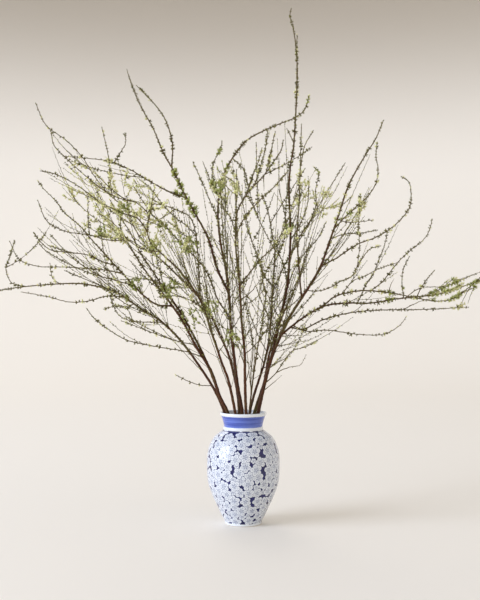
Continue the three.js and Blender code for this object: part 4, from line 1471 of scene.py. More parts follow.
@dataclass
class BarkSkin:
    """The round skin of the wood, swept along every course of a branch."""

    stem_sides: int = 12
    twig_sides: int = 6

    def tree(self) -> NodeTree:
        """Builds the tree that gives each course its thickness and its place in the grain.

        Returns:
            The tree.
        """
        tree, add = new_geometry_tree("bark_skin", {"Stem Sides": "NodeSocketInt",
            "Twig Sides": "NodeSocketInt", "Bark": "NodeSocketMaterial"})
        source = add("NodeGroupInput")
        courses = add("GeometryNodeMeshToCurve", named={"Mesh": source.outputs["Geometry"]})
        stout = add(NAMED, named={"Name": "stout"}, data_type="FLOAT")
        is_stout = add("FunctionNodeCompare", stout, 0.5, operation="GREATER_THAN")
        parted = add("GeometryNodeSeparateGeometry", named={"Geometry": courses, "Selection": is_stout})
        girth = add(NAMED, named={"Name": "girth"}, data_type="FLOAT")
        along = add(NAMED, named={"Name": "along"}, data_type="FLOAT")
        skins = []
        for wood, sides in (("Selection", "Stem Sides"), ("Inverted", "Twig Sides")):
            circle = add("GeometryNodeCurvePrimitiveCircle", named={"Resolution": source.outputs[sides],
                "Radius": 1.0})
            place = add("GeometryNodeInputPosition")
            ring = add(STORED, named={"Geometry": circle, "Name": "grain", "Value": place},
                data_type="FLOAT_VECTOR", domain="POINT")
            skins.append(add("GeometryNodeCurveToMesh", named={"Curve": parted.outputs[wood],
                "Profile Curve": ring, "Scale": girth, "Fill Caps": True}))
        joined = add("GeometryNodeJoinGeometry", skins[0])
        tree.links.new(skins[1].outputs[0], joined.inputs[0])
        around = add(NAMED, named={"Name": "grain"}, data_type="FLOAT_VECTOR")
        thick = add(MATH, girth, 1 / METRE, operation="MULTIPLY")
        wide = add(VECTOR_MATH, around, named={"Scale": thick}, operation="SCALE")
        lift = add("ShaderNodeCombineXYZ", named={"Z": along})
        grain = add(VECTOR_MATH, wide, lift, operation="ADD")
        marked = add(STORED, named={"Geometry": joined, "Name": "grain", "Value": grain},
            data_type="FLOAT_VECTOR", domain="POINT")
        whole = add("GeometryNodeRealizeInstances", named={"Geometry": marked})
        smooth = add("GeometryNodeSetShadeSmooth", named={"Geometry": whole})
        dressed = add("GeometryNodeSetMaterial", named={"Geometry": smooth,
            "Material": source.outputs["Bark"]})
        add("NodeGroupOutput", named={"Geometry": dressed})
        return tree


# What every point of the scatter carries, with its type. The tissue reads the tone.
TUFT_ATTRIBUTES = {"heading": "FLOAT_VECTOR", "across": "FLOAT_VECTOR", "size": "FLOAT", "tone": "FLOAT",
    "kind": "INT"}


@dataclass
class TuftScatter:
    """The scatter that sets a bunch of blades at each node of the wood."""

    size: float = 1.0

    def tree(self) -> NodeTree:
        """Builds the tree that turns, sizes and picks a bunch for each point.

        Returns:
            The tree.
        """
        tree, add = new_geometry_tree("tuft_scatter", {"Tufts": "NodeSocketCollection",
            "Size": "NodeSocketFloat", "Tissue": "NodeSocketMaterial"})
        source = add("NodeGroupInput")
        kinds = add("GeometryNodeCollectionInfo", named={"Collection": source.outputs["Tufts"],
            "Separate Children": True, "Reset Children": True})
        named = {name: add(NAMED, named={"Name": name}, data_type=TUFT_ATTRIBUTES[name])
            for name in ("heading", "across", "size", "kind")}
        turned = add("FunctionNodeAxesToRotation", named={"Primary Axis": named["heading"],
            "Secondary Axis": named["across"]}, primary_axis="Z", secondary_axis="X")
        sized = add(MATH, named["size"], source.outputs["Size"], operation="MULTIPLY")
        placed = add("GeometryNodeInstanceOnPoints", named={"Points": source.outputs["Geometry"],
            "Instance": kinds, "Pick Instance": True, "Instance Index": named["kind"], "Rotation": turned,
            "Scale": sized})
        whole = add("GeometryNodeRealizeInstances", named={"Geometry": placed})
        smooth = add("GeometryNodeSetShadeSmooth", named={"Geometry": whole})
        dressed = add("GeometryNodeSetMaterial", named={"Geometry": smooth,
            "Material": source.outputs["Tissue"]})
        add("NodeGroupOutput", named={"Geometry": dressed})
        return tree


@dataclass(frozen=True)
class TuftShape:
    """A bunch of small blades: how many, their size in millimetres, and how far they spread."""

    blades: int
    length: Span
    width: float
    spread: Span
    thickness: float
    fold: float
    curl: float
    stations: tuple[float, ...] = (0.38, 0.74)
    fullness: tuple[float, ...] = (1.0, 0.72)
    least_turn: float = 0.9
    turn_play: float = 0.2

    def mesh(self, name: str, seed: int) -> Mesh:
        """Builds one bunch round the Z axis.

        Args:
            name: the mesh's name.
            seed: what its random draws start from.

        Returns:
            The mesh, in metres, each blade a closed thin solid with its own coordinates.
        """
        dice = Dice(seed)
        corners: list[np.ndarray] = []
        places: list[tuple[float, float, float]] = []
        faces: list[tuple[int, ...]] = []
        turn = dice.next() * FULL_TURN
        for blade in range(self.blades):
            turn += GOLDEN_ANGLE * (self.least_turn + self.turn_play * dice.next())
            lean = self.spread[0] + (self.spread[1] - self.spread[0]) * (blade + dice.next()) / self.blades
            length = dice.between(self.length)
            out = np.array((math.cos(turn), math.sin(turn), 0))
            heading = out * math.sin(lean) + np.array((0, 0, math.cos(lean)))
            across = np.array((-math.sin(turn), math.cos(turn), 0))
            above = np.cross(across, heading)
            first = len(corners)
            corners.append(np.zeros(3))
            places.append((0, 0, 0))
            for station, fullness in zip(self.stations, self.fullness):
                middle = heading * length * station - above * self.curl * length * station**2
                half = self.width * fullness / 2
                corners += [middle + across * half, middle - above * self.fold, middle - across * half,
                    middle - above * (self.fold + self.thickness)]
                places += [(1, station, 0), (0, station, 0), (-1, station, 0), (0, station, 0)]
            corners.append(heading * length - above * self.curl * length)
            places.append((0, 1, 0))
            near, far = first + 1, len(corners) - 5
            for side in range(4):
                after = (side + 1) % 4
                faces.append((first, near + side, near + after))
                if far > near:
                    faces.append((near + side, far + side, far + after, near + after))
                faces.append((far + side, far + 4, far + after))
        mesh = bpy.data.meshes.new(name)
        mesh.from_pydata([tuple(corner * METRE) for corner in corners], [], faces)
        set_attribute(mesh, "blade", "FLOAT_VECTOR", np.array(places, dtype=np.float32))
        mesh.update()
        return mesh


TUFT_SHAPES = {
    Growth.BUD: TuftShape(blades=4, length=(4.2, 7.0), width=2.7, spread=(0.1, 1.25), thickness=1.1,
        fold=0.2, curl=0.05, stations=(0.5,), fullness=(1.0,)),
    Growth.LEAF: TuftShape(blades=5, length=(6.5, 11.0), width=2.8, spread=(0.15, 1.1), thickness=0.45,
        fold=0.5, curl=0.12),
    Growth.PALE: TuftShape(blades=5, length=(5.0, 8.5), width=3.6, spread=(0.2, 1.4), thickness=0.5,
        fold=0.35, curl=0.1, stations=(0.55,), fullness=(1.0,)),
}
TUFT_VARIANTS = 3
TUFT_SEED = 500
LEAF_SIZE = (0.75, 1.2)


@dataclass(frozen=True)
class NodeRule:
    """How far apart the nodes of one order of wood are, how it bends and swells there, in millimetres, how
    large, how spread and how often paired its buds are, and where its skin gets a ring about a node."""

    spacing: Span
    zigzag: float
    swelling: float
    ring_step: float
    size: Span
    lean: Span
    pair_chance: float
    leaf_chance: float
    rings: tuple[float, ...]


NODE_RULES = {
    Order.STEM: NodeRule(spacing=(9, 15), zigzag=0.3, swelling=0.1, ring_step=10, size=(0.82, 1.22),
        lean=(0.5, 1.15), pair_chance=0.6, leaf_chance=0.75, rings=(-1.6, 0, 1.6)),
    Order.SHOOT: NodeRule(spacing=(9, 14), zigzag=0.45, swelling=0.25, ring_step=10, size=(0.78, 1.16),
        lean=(0.45, 1.1), pair_chance=0.5, leaf_chance=0.7, rings=(-1.6, 0, 1.6)),
    Order.TWIG: NodeRule(spacing=(9, 15), zigzag=0.5, swelling=0.3, ring_step=14, size=(0.45, 0.75),
        lean=(0.25, 0.8), pair_chance=0.1, leaf_chance=0.35, rings=(0,)),
    Order.SPUR: NodeRule(spacing=(6, 9), zigzag=0.3, swelling=0.2, ring_step=20, size=(0.9, 1.35),
        lean=(0.3, 1.0), pair_chance=0.0, leaf_chance=0.2, rings=(0,)),
}


@dataclass
class TuftPoint:
    """Where one bunch of blades stands, in millimetres, which way it heads, and its looks."""

    root: np.ndarray
    heading: np.ndarray
    across: np.ndarray
    size: float
    kind: int
    tone: float


@dataclass
class FlushedBranch:
    """One branch with its round wood, and the buds and leaves on it."""

    branch: Branch
    limbs: list[Limb]
    lowest_bud: float = 335
    full_budding: float = 520
    crowding: float = 0.5
    leafy_spacing: float = 0.6
    bud_chance: float = 0.93
    pale_chance: float = 0.92
    stray_pale_chance: float = 0.2
    fining: float = 0.35
    stoutening: float = 0.3
    bunching: float = 0.3
    bunching_reach: float = 15.0
    old_girth: float = 3.9
    ageing: float = 1.8
    old_budding: float = 0.12
    leaf_whorl: int = 3
    collar: float = 0.45
    collar_reach: float = 5.0
    swelling_reach: float = 1.6
    seat: float = 0.7
    bare_tip: float = 3
    zigzag_rise: float = 20
    least_ring_gap: float = 0.5
    grain_shift: float = 1000
    stout_girth: float = 1.6
    young_girth: float = 0.6
    age_span: float = 3.2
    whorl_pairing: float = 0.2
    seed_step: int = 3000
    zigzag_slant: tuple[float, float, float] = (0.3, 1.0, 0.1)
    node_slant: tuple[float, float, float] = (0.2, 0.9, 0.4)
    blade_slant: tuple[float, float, float] = (0.1, 0.7, 0.7)
    tufts: dict[Growth, list[TuftPoint]] = field(init=False)

    def __post_init__(self) -> None:
        """Lays out the nodes of every limb and what grows at them."""
        self.tufts = {growth: [] for growth in Growth}
        self.points: list[np.ndarray] = []
        self.girths: list[np.ndarray] = []
        self.along: list[np.ndarray] = []
        dice = Dice(self.branch.seed + self.seed_step)
        for limb in self.limbs:
            nodes = self.nodes(limb, dice)
            self.lay_wood(limb, nodes, dice)
            self.lay_tufts(limb, nodes, dice)

    def nodes(self, limb: Limb, dice: Dice) -> np.ndarray:
        """Draws where a limb's nodes are, closer together towards its tip.

        Args:
            limb: the wood.
            dice: the draws come from here.

        Returns:
            Distances from the root, in millimetres.
        """
        rule = NODE_RULES[limb.order]
        stations = []
        station = dice.between(rule.spacing)
        while station < limb.length - self.bare_tip:
            stations.append(station)
            closer = self.leafy_spacing if self.has_opened(limb.at(station)) else 1.0
            station += dice.between(rule.spacing) * closer * (1 - self.crowding * station / limb.length)
        return np.array(stations)

    def bent(self, limb: Limb, stations: np.ndarray, nodes: np.ndarray) -> np.ndarray:
        """Gives the course at some stations, with its slight zigzag from node to node.

        Args:
            limb: the wood.
            stations: distances from the root.
            nodes: where its nodes are.

        Returns:
            The points, one a row.
        """
        across = unit(np.cross(limb.course[-1] - limb.course[0], self.zigzag_slant))
        other = unit(np.cross(limb.course[-1] - limb.course[0], across))
        turns = np.arange(len(nodes) + 2) * GOLDEN_ANGLE
        knots = np.concatenate(((0.0,), nodes, (limb.length,)))
        amount = np.minimum(knots / self.zigzag_rise, 1) * NODE_RULES[limb.order].zigzag
        first = np.interp(stations, knots, np.cos(turns) * amount)
        second = np.interp(stations, knots, np.sin(turns) * amount)
        return limb.at(stations) + first[:, None] * across + second[:, None] * other

    def lay_wood(self, limb: Limb, nodes: np.ndarray, dice: Dice) -> None:
        """Adds a limb's course with its girths, swollen at the nodes and flared at its root.

        Args:
            limb: the wood.
            nodes: where its nodes are.
            dice: the draws come from here.
        """
        rule = NODE_RULES[limb.order]
        rings = np.linspace(0, limb.length, max(3, round(limb.length / rule.ring_step)))
        beside = (nodes[:, None] + np.array(rule.rings)).ravel() if len(nodes) else nodes
        stations = np.unique(np.clip(np.concatenate((rings, beside)), 0, limb.length))
        stations = stations[np.concatenate(((True,), np.diff(stations) > self.least_ring_gap))]
        girths = limb.girth_at(stations)
        if len(nodes):
            gaps = np.abs(stations[:, None] - nodes[None, :]).min(axis=1)
            girths = girths * (1 + rule.swelling * np.exp(-((gaps / self.swelling_reach) ** 2)))
        if limb.order is not Order.STEM:
            girths = girths * (1 + self.collar * np.exp(-stations / self.collar_reach))
        self.points.append(self.bent(limb, stations, nodes))
        self.girths.append(girths)
        self.along.append(stations + self.grain_shift * dice.next())

    def lay_tufts(self, limb: Limb, nodes: np.ndarray, dice: Dice) -> None:
        """Adds what grows at each node of a limb, turning round it from node to node, and at its tip.

        Args:
            limb: the wood.
            nodes: where its nodes are.
            dice: the draws come from here.
        """
        turn = dice.next() * FULL_TURN
        phase = turn
        places = self.bent(limb, nodes, nodes) if len(nodes) else np.zeros((0, 3))
        for station, place in zip(nodes, places):
            turn += GOLDEN_ANGLE
            tangent = limb.heading(station)
            across = unit(np.cross(tangent, self.node_slant))
            out = across * math.cos(turn) + np.cross(tangent, across) * math.sin(turn)
            girth = limb.girth_at(station)
            youth = min(max((self.old_girth - girth) / self.ageing, self.old_budding), 1)
            height = (place[2] - self.lowest_bud) / (self.full_budding - self.lowest_bud)
            if dice.next() > self.bud_chance * youth * min(height, 1):
                continue
            scale = (1 - self.fining * (station / limb.length) ** 2) * (0.5 + youth / 2)
            scale *= 1 + self.stoutening * min(max(girth - 1, 0), 1)
            scale *= 1 + self.bunching * math.sin(station / self.bunching_reach + phase)
            rule = NODE_RULES[limb.order]
            if self.has_opened(place) and rule.pair_chance > self.whorl_pairing:
                count = self.leaf_whorl
            else:
                count = 2 if dice.next() < rule.pair_chance else 1
            beside = np.cross(tangent, out)
            for bunch in range(count):
                angle = FULL_TURN * bunch / count
                away = out * math.cos(angle) + beside * math.sin(angle)
                along = tangent * rule.spacing[0] * bunch / count
                shift = along if count > 2 else 0
                self.add_tuft(place + shift + away * girth * self.seat, tangent, away, scale, rule, dice)
        self.add_tuft(limb.course[-1], limb.heading(limb.length), None, 1 - self.fining,
            NODE_RULES[limb.order], dice)

    def has_opened(self, place: np.ndarray) -> bool:
        """Tells whether the buds at a place have opened into leaves."""
        return is_among(LEAFY_SPOTS, place)

    def growth_at(self, place: np.ndarray, rule: NodeRule, dice: Dice) -> Growth:
        """Chooses what grows at a place, from where the eye sees it and the order of its wood.

        Args:
            place: where it stands.
            rule: what the nodes there are like.
            dice: the draws come from here.

        Returns:
            The growth.
        """
        if self.has_opened(place) and dice.next() < rule.leaf_chance:
            return Growth.LEAF
        pale = is_among(PALE_SPOTS, place)
        chance = (self.pale_chance if pale else self.stray_pale_chance) * (1 - rule.pair_chance)
        return Growth.PALE if dice.next() < chance else Growth.BUD

    def add_tuft(
        self,
        root: np.ndarray,
        tangent: np.ndarray,
        out: np.ndarray | None,
        scale: float,
        rule: NodeRule,
        dice: Dice,
    ) -> None:
        """Adds one bunch of blades.

        Args:
            root: where it stands on the wood.
            tangent: the direction of the wood there.
            out: the direction away from the wood, or None at a tip.
            scale: how large it is, as a share of the usual.
            rule: what the nodes of this order of wood are like.
            dice: the draws come from here.
        """
        lean = dice.between(rule.lean)
        heading = tangent if out is None else tangent * math.cos(lean) + out * math.sin(lean)
        across = unit(np.cross(heading, self.blade_slant))
        growth = self.growth_at(root, rule, dice)
        size = dice.between(LEAF_SIZE if growth is Growth.LEAF else rule.size)
        variant = math.floor(dice.next() * TUFT_VARIANTS)
        self.tufts[growth].append(TuftPoint(root, heading, across, scale * size, variant, dice.next()))

    def wood_mesh(self) -> Mesh:
        """Gives the courses of the wood as a mesh of edges that carries what the bark skin needs.

        Returns:
            The mesh.
        """
        counts = [len(points) for points in self.points]
        firsts = np.concatenate(((0,), np.cumsum(counts)[:-1]))
        edges = np.concatenate([np.stack((np.arange(n - 1), np.arange(1, n)), axis=1) + first
            for n, first in zip(counts, firsts)])
        mesh = bpy.data.meshes.new(f"{self.branch.name}_course")
        places = np.concatenate(self.points) * METRE
        mesh.from_pydata(places.tolist(), edges.tolist(), [])
        girths = np.concatenate(self.girths)
        stout = np.concatenate([np.full(n, limb.root_girth > self.stout_girth, dtype=np.float32)
            for n, limb in zip(counts, self.limbs)])
        set_attribute(mesh, "girth", "FLOAT", (girths * METRE).astype(np.float32))
        set_attribute(mesh, "along", "FLOAT", np.concatenate(self.along).astype(np.float32))
        set_attribute(mesh, "stout", "FLOAT", stout)
        ages = np.clip((girths - self.young_girth) / self.age_span, 0, 1)
        set_attribute(mesh, "age", "FLOAT", ages.astype(np.float32))
        return mesh

    def tuft_mesh(self, growth: Growth) -> Mesh:
        """Gives the points of one growth as a mesh that carries what the scatter needs.

        Args:
            growth: buds, leaves or pale buds.

        Returns:
            The mesh.
        """
        points = self.tufts[growth]
        mesh = bpy.data.meshes.new(f"{self.branch.name}_{growth.value}_points")
        mesh.from_pydata([tuple(point.root * METRE) for point in points], [], [])
        for name, kind in TUFT_ATTRIBUTES.items():
            values = np.array([getattr(point, name) for point in points])
            set_attribute(mesh, name, kind, values.astype(np.int32 if kind == "INT" else np.float32))
        return mesh


@dataclass
class BranchWork:
    """Builds and dresses all the branches."""

    growing: Growing = field(default_factory=Growing)
    withes_per_stem: int = 5
    crossers_per_stem: int = 7
    twigs_per_metre: float = 4.2
    spurs_per_metre: float = 8.5
    twig_seed_step: int = 2000

    def build(self) -> None:
        """Grows the wood and makes every branch's pieces."""
        thicket = Thicket(self.growing, BRANCHES)
        thicket.grow()
        thicket.add_twigs(self.withes_per_stem, self.crossers_per_stem, self.twigs_per_metre,
            self.spurs_per_metre, self.twig_seed_step)
        bark = MeadowsweetBark().material()
        tissues = {growth: finish.material() for growth, finish in BLADE_FINISHES.items()}
        collections = {growth: self.variants(growth) for growth in Growth}
        skin = BarkSkin()
        skin_tree = skin.tree()
        scatter = TuftScatter()
        scatter_tree = scatter.tree()
        for branch in BRANCHES:
            flushed = FlushedBranch(branch, thicket.limbs[branch.name])
            wood = run_tree(f"{branch.name}_wood", flushed.wood_mesh(), skin_tree,
                {"Stem Sides": skin.stem_sides, "Twig Sides": skin.twig_sides, "Bark": bark})
            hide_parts(branch.name)
            self.finish(wood)
            for growth in Growth:
                if flushed.tufts[growth]:
                    tufts = run_tree(f"{branch.name}_{growth.value}", flushed.tuft_mesh(growth),
                        scatter_tree, {"Tufts": collections[growth], "Size": scatter.size,
                        "Tissue": tissues[growth]})
                    self.finish(tufts)
        for collection in collections.values():
            for bunch in list(collection.objects):
                bpy.data.objects.remove(bunch)
            bpy.data.collections.remove(collection)

    def finish(self, piece: Object) -> None:
        """Fixes a piece to the arrangement and reports it."""
        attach(piece, "root")
        LOG.info("%s: %d faces", piece.name, len(piece.data.polygons))

    def variants(self, growth: Growth) -> Collection:
        """Makes the bunches of one growth that the scatter picks from.

        Args:
            growth: buds, leaves or pale buds.

        Returns:
            The collection of bunches.
        """
        collection = bpy.data.collections.new(f"{growth.value}_bunches")
        bpy.context.scene.collection.children.link(collection)
        for variant in range(TUFT_VARIANTS):
            name = f"{growth.value}_bunch_{variant}"
            bunch = bpy.data.objects.new(name, TUFT_SHAPES[growth].mesh(name, seed=TUFT_SEED + variant))
            collection.objects.link(bunch)
        return collection


@dataclass(frozen=True)
class Blossom:
    """One painted blossom: its bearing round the vase, station up the outline, reach and turn."""

    bearing: float
    station: float
    reach: float
    phase: float


@dataclass
class PorcelainVase:
    """The vase: a turned wall with a foot ring, a round shoulder, a beaded neck and a flared lip."""

    segments: int = 160
    foot: Outline = ((0, 4), (12, 4), (24, 4), (35.3, 4), (36.6, 0.3), (37.6, 0), (46.4, 0), (47.5, 0.5))
    body: Outline = ((47.5, 0.5), (49.4, 9.6), (56, 21.6), (66, 43), (80, 73), (91, 105), (94.8, 150),
        (91, 193), (77, 223), (62, 236), (52.6, 242.6))
    bead: Outline = ((52.6, 242.6), (51.5, 244.6), (52.2, 247.6), (51.2, 250.6), (49.8, 252))
    neck: Outline = ((49.8, 252), (51.4, 260), (53.5, 268), (55.7, 275), (57.6, 279.6), (60, 282.6),
        (60.5, 285.2), (59.8, 287.8), (58.2, 289), (56, 287.4))
    inside: Outline = ((56, 287.4), (54, 280), (48, 262), (43.5, 246), (44, 240), (57, 229), (70, 217),
        (84.5, 190), (88, 150), (84.5, 106), (73.5, 74), (60, 45), (41, 12), (20, 12), (0, 12))
    steps: tuple[int, ...] = (8, 10, 3, 6, 5)
    painted: Span = (8.0, 239.5)
    blossom_reaches: tuple[float, ...] = (16.0, 14.5, 13.0, 11.5, 9.5, 8.0)
    darts: int = 2600
    closeness: float = 0.725
    stacking: float = 1.12
    least_size: float = 0.92
    size_play: float = 0.16
    seed: int = 77
    sharpest: float = math.radians(48)

    def build(self) -> Object:
        """Turns the vase, lays the painted blossoms on it and glazes it.

        Returns:
            The finished vase.
        """
        profile, outside = self.profile()
        mesh, rings = self.turned(profile, outside)
        self.paint(mesh, profile, rings)
        mesh.shade_smooth()
        mesh.set_sharp_from_angle(angle=self.sharpest)
        mesh.materials.append(BlueAndWhitePorcelain().material())
        piece = new_piece("vase_porcelain", mesh)
        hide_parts("vase")
        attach(piece, "root")
        LOG.info("%s: %d faces", piece.name, len(mesh.polygons))
        return piece

    def profile(self) -> tuple[np.ndarray, np.ndarray]:
        """Draws the wall's outline.

        Returns:
            Its points as radius and height, from under the foot round to the floor inside, and for each
            whether it is on the painted outside.
        """
        points: list[np.ndarray] = []
        outside: list[float] = []
        sections = (self.foot, self.body, self.bead, self.neck, self.inside)
        for number, (section, steps) in enumerate(zip(sections, self.steps)):
            controls = np.array(section, dtype=float)
            smooth = controls if number == 0 else smooth_curve(controls, steps * (len(controls) - 1))
            smooth = smooth if number == 0 else smooth[1:]
            points.append(smooth)
            outside += [0.0 if number in (0, 4) else 1.0] * len(smooth)
        outline = np.concatenate(points)
        outline[:, 0] = np.maximum(outline[:, 0], 0)
        return outline, np.array(outside)

    def turned(self, profile: np.ndarray, outside: np.ndarray) -> tuple[Mesh, np.ndarray]:
        """Turns the outline about the Z axis.

        Args:
            profile: radius and height of each ring, the first and last on the axis.
            outside: for each ring, whether it is painted.

        Returns:
            The mesh, and the ring that each face starts from.
        """
        bearings = np.arange(self.segments) * FULL_TURN / self.segments
        rings = profile[1:-1]
        places = np.stack((rings[:, :1] * np.cos(bearings), rings[:, :1] * np.sin(bearings),
            np.repeat(rings[:, 1:], self.segments, axis=1)), axis=2).reshape(-1, 3)
        corners = np.vstack(((0, 0, profile[0, 1]), places, (0, 0, profile[-1, 1]))) * METRE
        faces: list[tuple[int, ...]] = []
        starts: list[int] = []
        last = len(corners) - 1
        for segment in range(self.segments):
            after = (segment + 1) % self.segments
            faces.append((0, 1 + after, 1 + segment))
            starts.append(0)
            for ring in range(len(rings) - 1):
                low, high = 1 + ring * self.segments, 1 + (ring + 1) * self.segments
                faces.append((low + segment, low + after, high + after, high + segment))
                starts.append(ring + 1)
            end = 1 + (len(rings) - 1) * self.segments
            faces.append((end + segment, end + after, last))
            starts.append(len(rings))
        mesh = bpy.data.meshes.new("vase_porcelain")
        mesh.from_pydata(corners.tolist(), [], faces)
        flags = np.concatenate(((0,), np.repeat(outside[1:-1], self.segments), (0,)))
        set_attribute(mesh, "outside", "FLOAT", flags.astype(np.float32))
        return mesh, np.array(starts)

    def blossoms(self, profile: np.ndarray) -> list[Blossom]:
        """Packs the blossoms on the body, the large ones first and small ones in the gaps.

        Args:
            profile: radius and height of each ring.

        Returns:
            The blossoms.
        """
        stations = distances_along(profile)
        body = slice(len(self.foot), len(self.foot) + self.steps[1] * (len(self.body) - 1))
        heights = profile[body, 1]
        low = float(np.interp(self.painted[0], heights, stations[body]))
        high = float(np.interp(self.painted[1], heights, stations[body]))
        dice = Dice(self.seed)
        laid = np.zeros((0, 4))
        found: list[Blossom] = []
        for reach in self.blossom_reaches:
            for _ in range(self.darts):
                bearing = dice.next() * FULL_TURN
                station = low + (high - low) * dice.next()
                size = reach * (self.least_size + self.size_play * dice.next())
                phase = dice.next()
                radius = float(np.interp(station, stations[body], profile[body, 0]))
                if len(laid):
                    turn = np.abs((laid[:, 0] - bearing + math.pi) % FULL_TURN - math.pi)
                    wide = turn * (laid[:, 3] + radius) / 2
                    gaps = np.hypot(wide, (laid[:, 1] - station) * self.stacking)
                    if np.any(gaps < self.closeness * (laid[:, 2] + size)):
                        continue
                laid = np.vstack((laid, (bearing, station, size, radius)))
                found.append(Blossom(bearing, station, size, phase))
        return found

    def paint(self, mesh: Mesh, profile: np.ndarray, starts: np.ndarray) -> None:
        """Stores on every corner its place relative to the three blossoms nearest to its face.

        Args:
            mesh: the turned wall, its faces in the order of their segments.
            profile: radius and height of each ring.
            starts: the ring that each face starts from.
        """
        blossoms = self.blossoms(profile)
        LOG.info("painted blossoms: %d", len(blossoms))
        stations = distances_along(profile)
        centre = np.array([(b.bearing, b.station, b.reach, b.phase) for b in blossoms])
        centre_radius = np.interp(centre[:, 1], stations, profile[:, 0])
        loops = np.zeros(len(mesh.loops), dtype=np.int32)
        mesh.loops.foreach_get("vertex_index", loops)
        corner_ring = np.clip((loops - 1) // self.segments + 1, 0, len(profile) - 1)
        corner_segment = (loops - 1) % self.segments
        corner_station = stations[corner_ring]
        corner_radius = profile[corner_ring, 0]
        corner_bearing = corner_segment * FULL_TURN / self.segments
        firsts = np.zeros(len(mesh.polygons), dtype=np.int32)
        sides = np.zeros(len(mesh.polygons), dtype=np.int32)
        mesh.polygons.foreach_get("loop_start", firsts)
        mesh.polygons.foreach_get("loop_total", sides)
        face_of = np.repeat(np.arange(len(firsts)), sides)
        middle_station = stations[starts] + np.diff(np.append(stations, stations[-1]))[starts] / 2
        middle_radius = profile[starts, 0]
        segment_of = np.arange(len(firsts)) // (len(profile) - 1)
        middle_bearing = (segment_of + 0.5) * FULL_TURN / self.segments
        turn = (middle_bearing[:, None] - centre[None, :, 0] + math.pi) % FULL_TURN - math.pi
        wide = turn * (middle_radius[:, None] + centre_radius[None, :]) / 2
        gaps = np.hypot(wide, middle_station[:, None] - centre[None, :, 1]) / centre[None, :, 2]
        nearest = np.argsort(gaps, axis=1)[:, : len(BLOSSOM_LAYERS)]
        order = np.argsort(centre[nearest, 2] + centre[nearest, 3], axis=1)
        nearest = np.take_along_axis(nearest, order, axis=1)
        for layer, name in enumerate(BLOSSOM_LAYERS):
            chosen = nearest[face_of, layer]
            turn = (corner_bearing - centre[chosen, 0] + math.pi) % FULL_TURN - math.pi
            across = turn * (corner_radius + centre_radius[chosen]) / 2 / centre[chosen, 2]
            up = (corner_station - centre[chosen, 1]) / centre[chosen, 2]
            relative = np.stack((across, up, centre[chosen, 3]), axis=1).astype(np.float32)
            set_attribute(mesh, name, "FLOAT_VECTOR", relative, domain="CORNER")


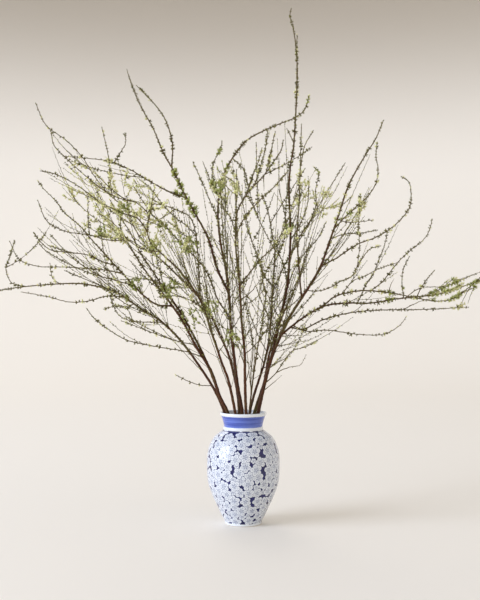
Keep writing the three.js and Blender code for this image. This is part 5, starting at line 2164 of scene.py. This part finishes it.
@dataclass
class Studio:
    """A wide bowl of pale paper, soft lights, and the camera at the eye of the front view."""

    floor_radius: float = 4.0
    sweep: float = 5.0
    sweep_steps: int = 24
    segments: int = 96
    long_side: float = 36.0
    sky: str = "#f5f5f6"
    sky_strength: float = 0.67
    lit_middle: tuple[float, float, float] = (0, 0, 0.55)
    view: str = "Standard"

    def build(self) -> None:
        """Builds the backdrop, the lights and the camera."""
        paper = self.backdrop()
        self.lights(paper)
        self.camera()
        bpy.context.scene.view_settings.view_transform = self.view

    def backdrop(self) -> Object:
        """Turns the floor, which sweeps up all round, and gives it.

        Returns:
            The paper.
        """
        angles = np.linspace(0, math.pi / 2, self.sweep_steps)
        rise = [(self.floor_radius + self.sweep * math.sin(a), self.sweep * (1 - math.cos(a)))
            for a in angles]
        outline = [(METRE, 0.0), (self.floor_radius * 0.5, 0.0), *rise]
        corners = []
        faces = []
        for radius, height in outline:
            for segment in range(self.segments):
                bearing = segment * FULL_TURN / self.segments
                corners.append((radius * math.cos(bearing), radius * math.sin(bearing), height))
        for ring in range(len(outline) - 1):
            for segment in range(self.segments):
                after = (segment + 1) % self.segments
                low, high = ring * self.segments, (ring + 1) * self.segments
                faces.append((low + segment, high + segment, high + after, low + after))
        faces.append(tuple(range(self.segments)))
        mesh = bpy.data.meshes.new("studio_paper")
        mesh.from_pydata(corners, [], faces)
        mesh.shade_smooth()
        mesh.materials.append(StudioPaper().material())
        paper = new_piece("studio_paper", mesh)
        return paper

    def lights(self, paper: Object) -> None:
        """Hangs three soft lights round the arrangement, which the paper doesn't shade.

        Args:
            paper: the backdrop, inside which the lights would leave sharp edges.
        """
        passed = bpy.data.collections.new("passed_by_lights")
        passed.objects.link(paper)
        passed.collection_objects[0].light_linking.link_state = "EXCLUDE"
        for name, place, size, power, colour in (
            ("window_light", (-9.6, -4.2, 3.9), 6.75, 1125.0, "#e0eaff"),
            ("fill_light", (5.4, -4.4, 4.2), 4.0, 14.0, "#ffd6a8"),
            ("back_light", (-2.6, 9.4, 8.4), 6.4, 255.0, "#fff9f2"),
        ):
            lamp = bpy.data.lights.new(name, "AREA")
            lamp.size = size
            lamp.energy = power
            lamp.color = linear(colour)[:3]
            stand = bpy.data.objects.new(name, lamp)
            stand.location = place
            aim = Vector(self.lit_middle) - Vector(place)
            stand.rotation_euler = aim.to_track_quat("-Z", "Y").to_euler()
            stand.visible_camera = False
            stand.light_linking.blocker_collection = passed
            bpy.context.scene.collection.objects.link(stand)
        world = bpy.data.worlds.new("studio_air")
        world.use_nodes = True
        world.node_tree.nodes.clear()
        add = partial(add_node, world.node_tree)
        air = add("ShaderNodeBackground", named={"Color": linear(self.sky), "Strength": self.sky_strength})
        add("ShaderNodeOutputWorld", named={"Surface": air})
        bpy.context.scene.world = world

    def camera(self) -> None:
        """Stands the camera at the eye, level, with the front view's rows filling its frame."""
        half_height = VIEW.rows * VIEW.square / 2
        data = bpy.data.cameras.new("front_camera")
        data.sensor_width = self.long_side
        data.lens = self.long_side / 2 * VIEW.distance / half_height
        camera = bpy.data.objects.new("front_camera", data)
        camera.location = (VIEW.eye_x * METRE, -VIEW.distance * METRE, VIEW.eye_z * METRE)
        camera.rotation_euler = (math.pi / 2, 0, 0)
        bpy.context.scene.collection.objects.link(camera)
        bpy.context.scene.camera = camera


def main() -> None:
    """Builds the studio, the vase with its water and the branches."""
    logging.basicConfig(level=logging.INFO, format="%(name)s: %(message)s")
    Studio().build()
    PorcelainVase().build()
    water = frame["nodes"]["water"]
    water.data.materials.clear()
    water.data.materials.append(VaseWater().material())
    BranchWork().build()


if __name__ == "__main__":
    main()
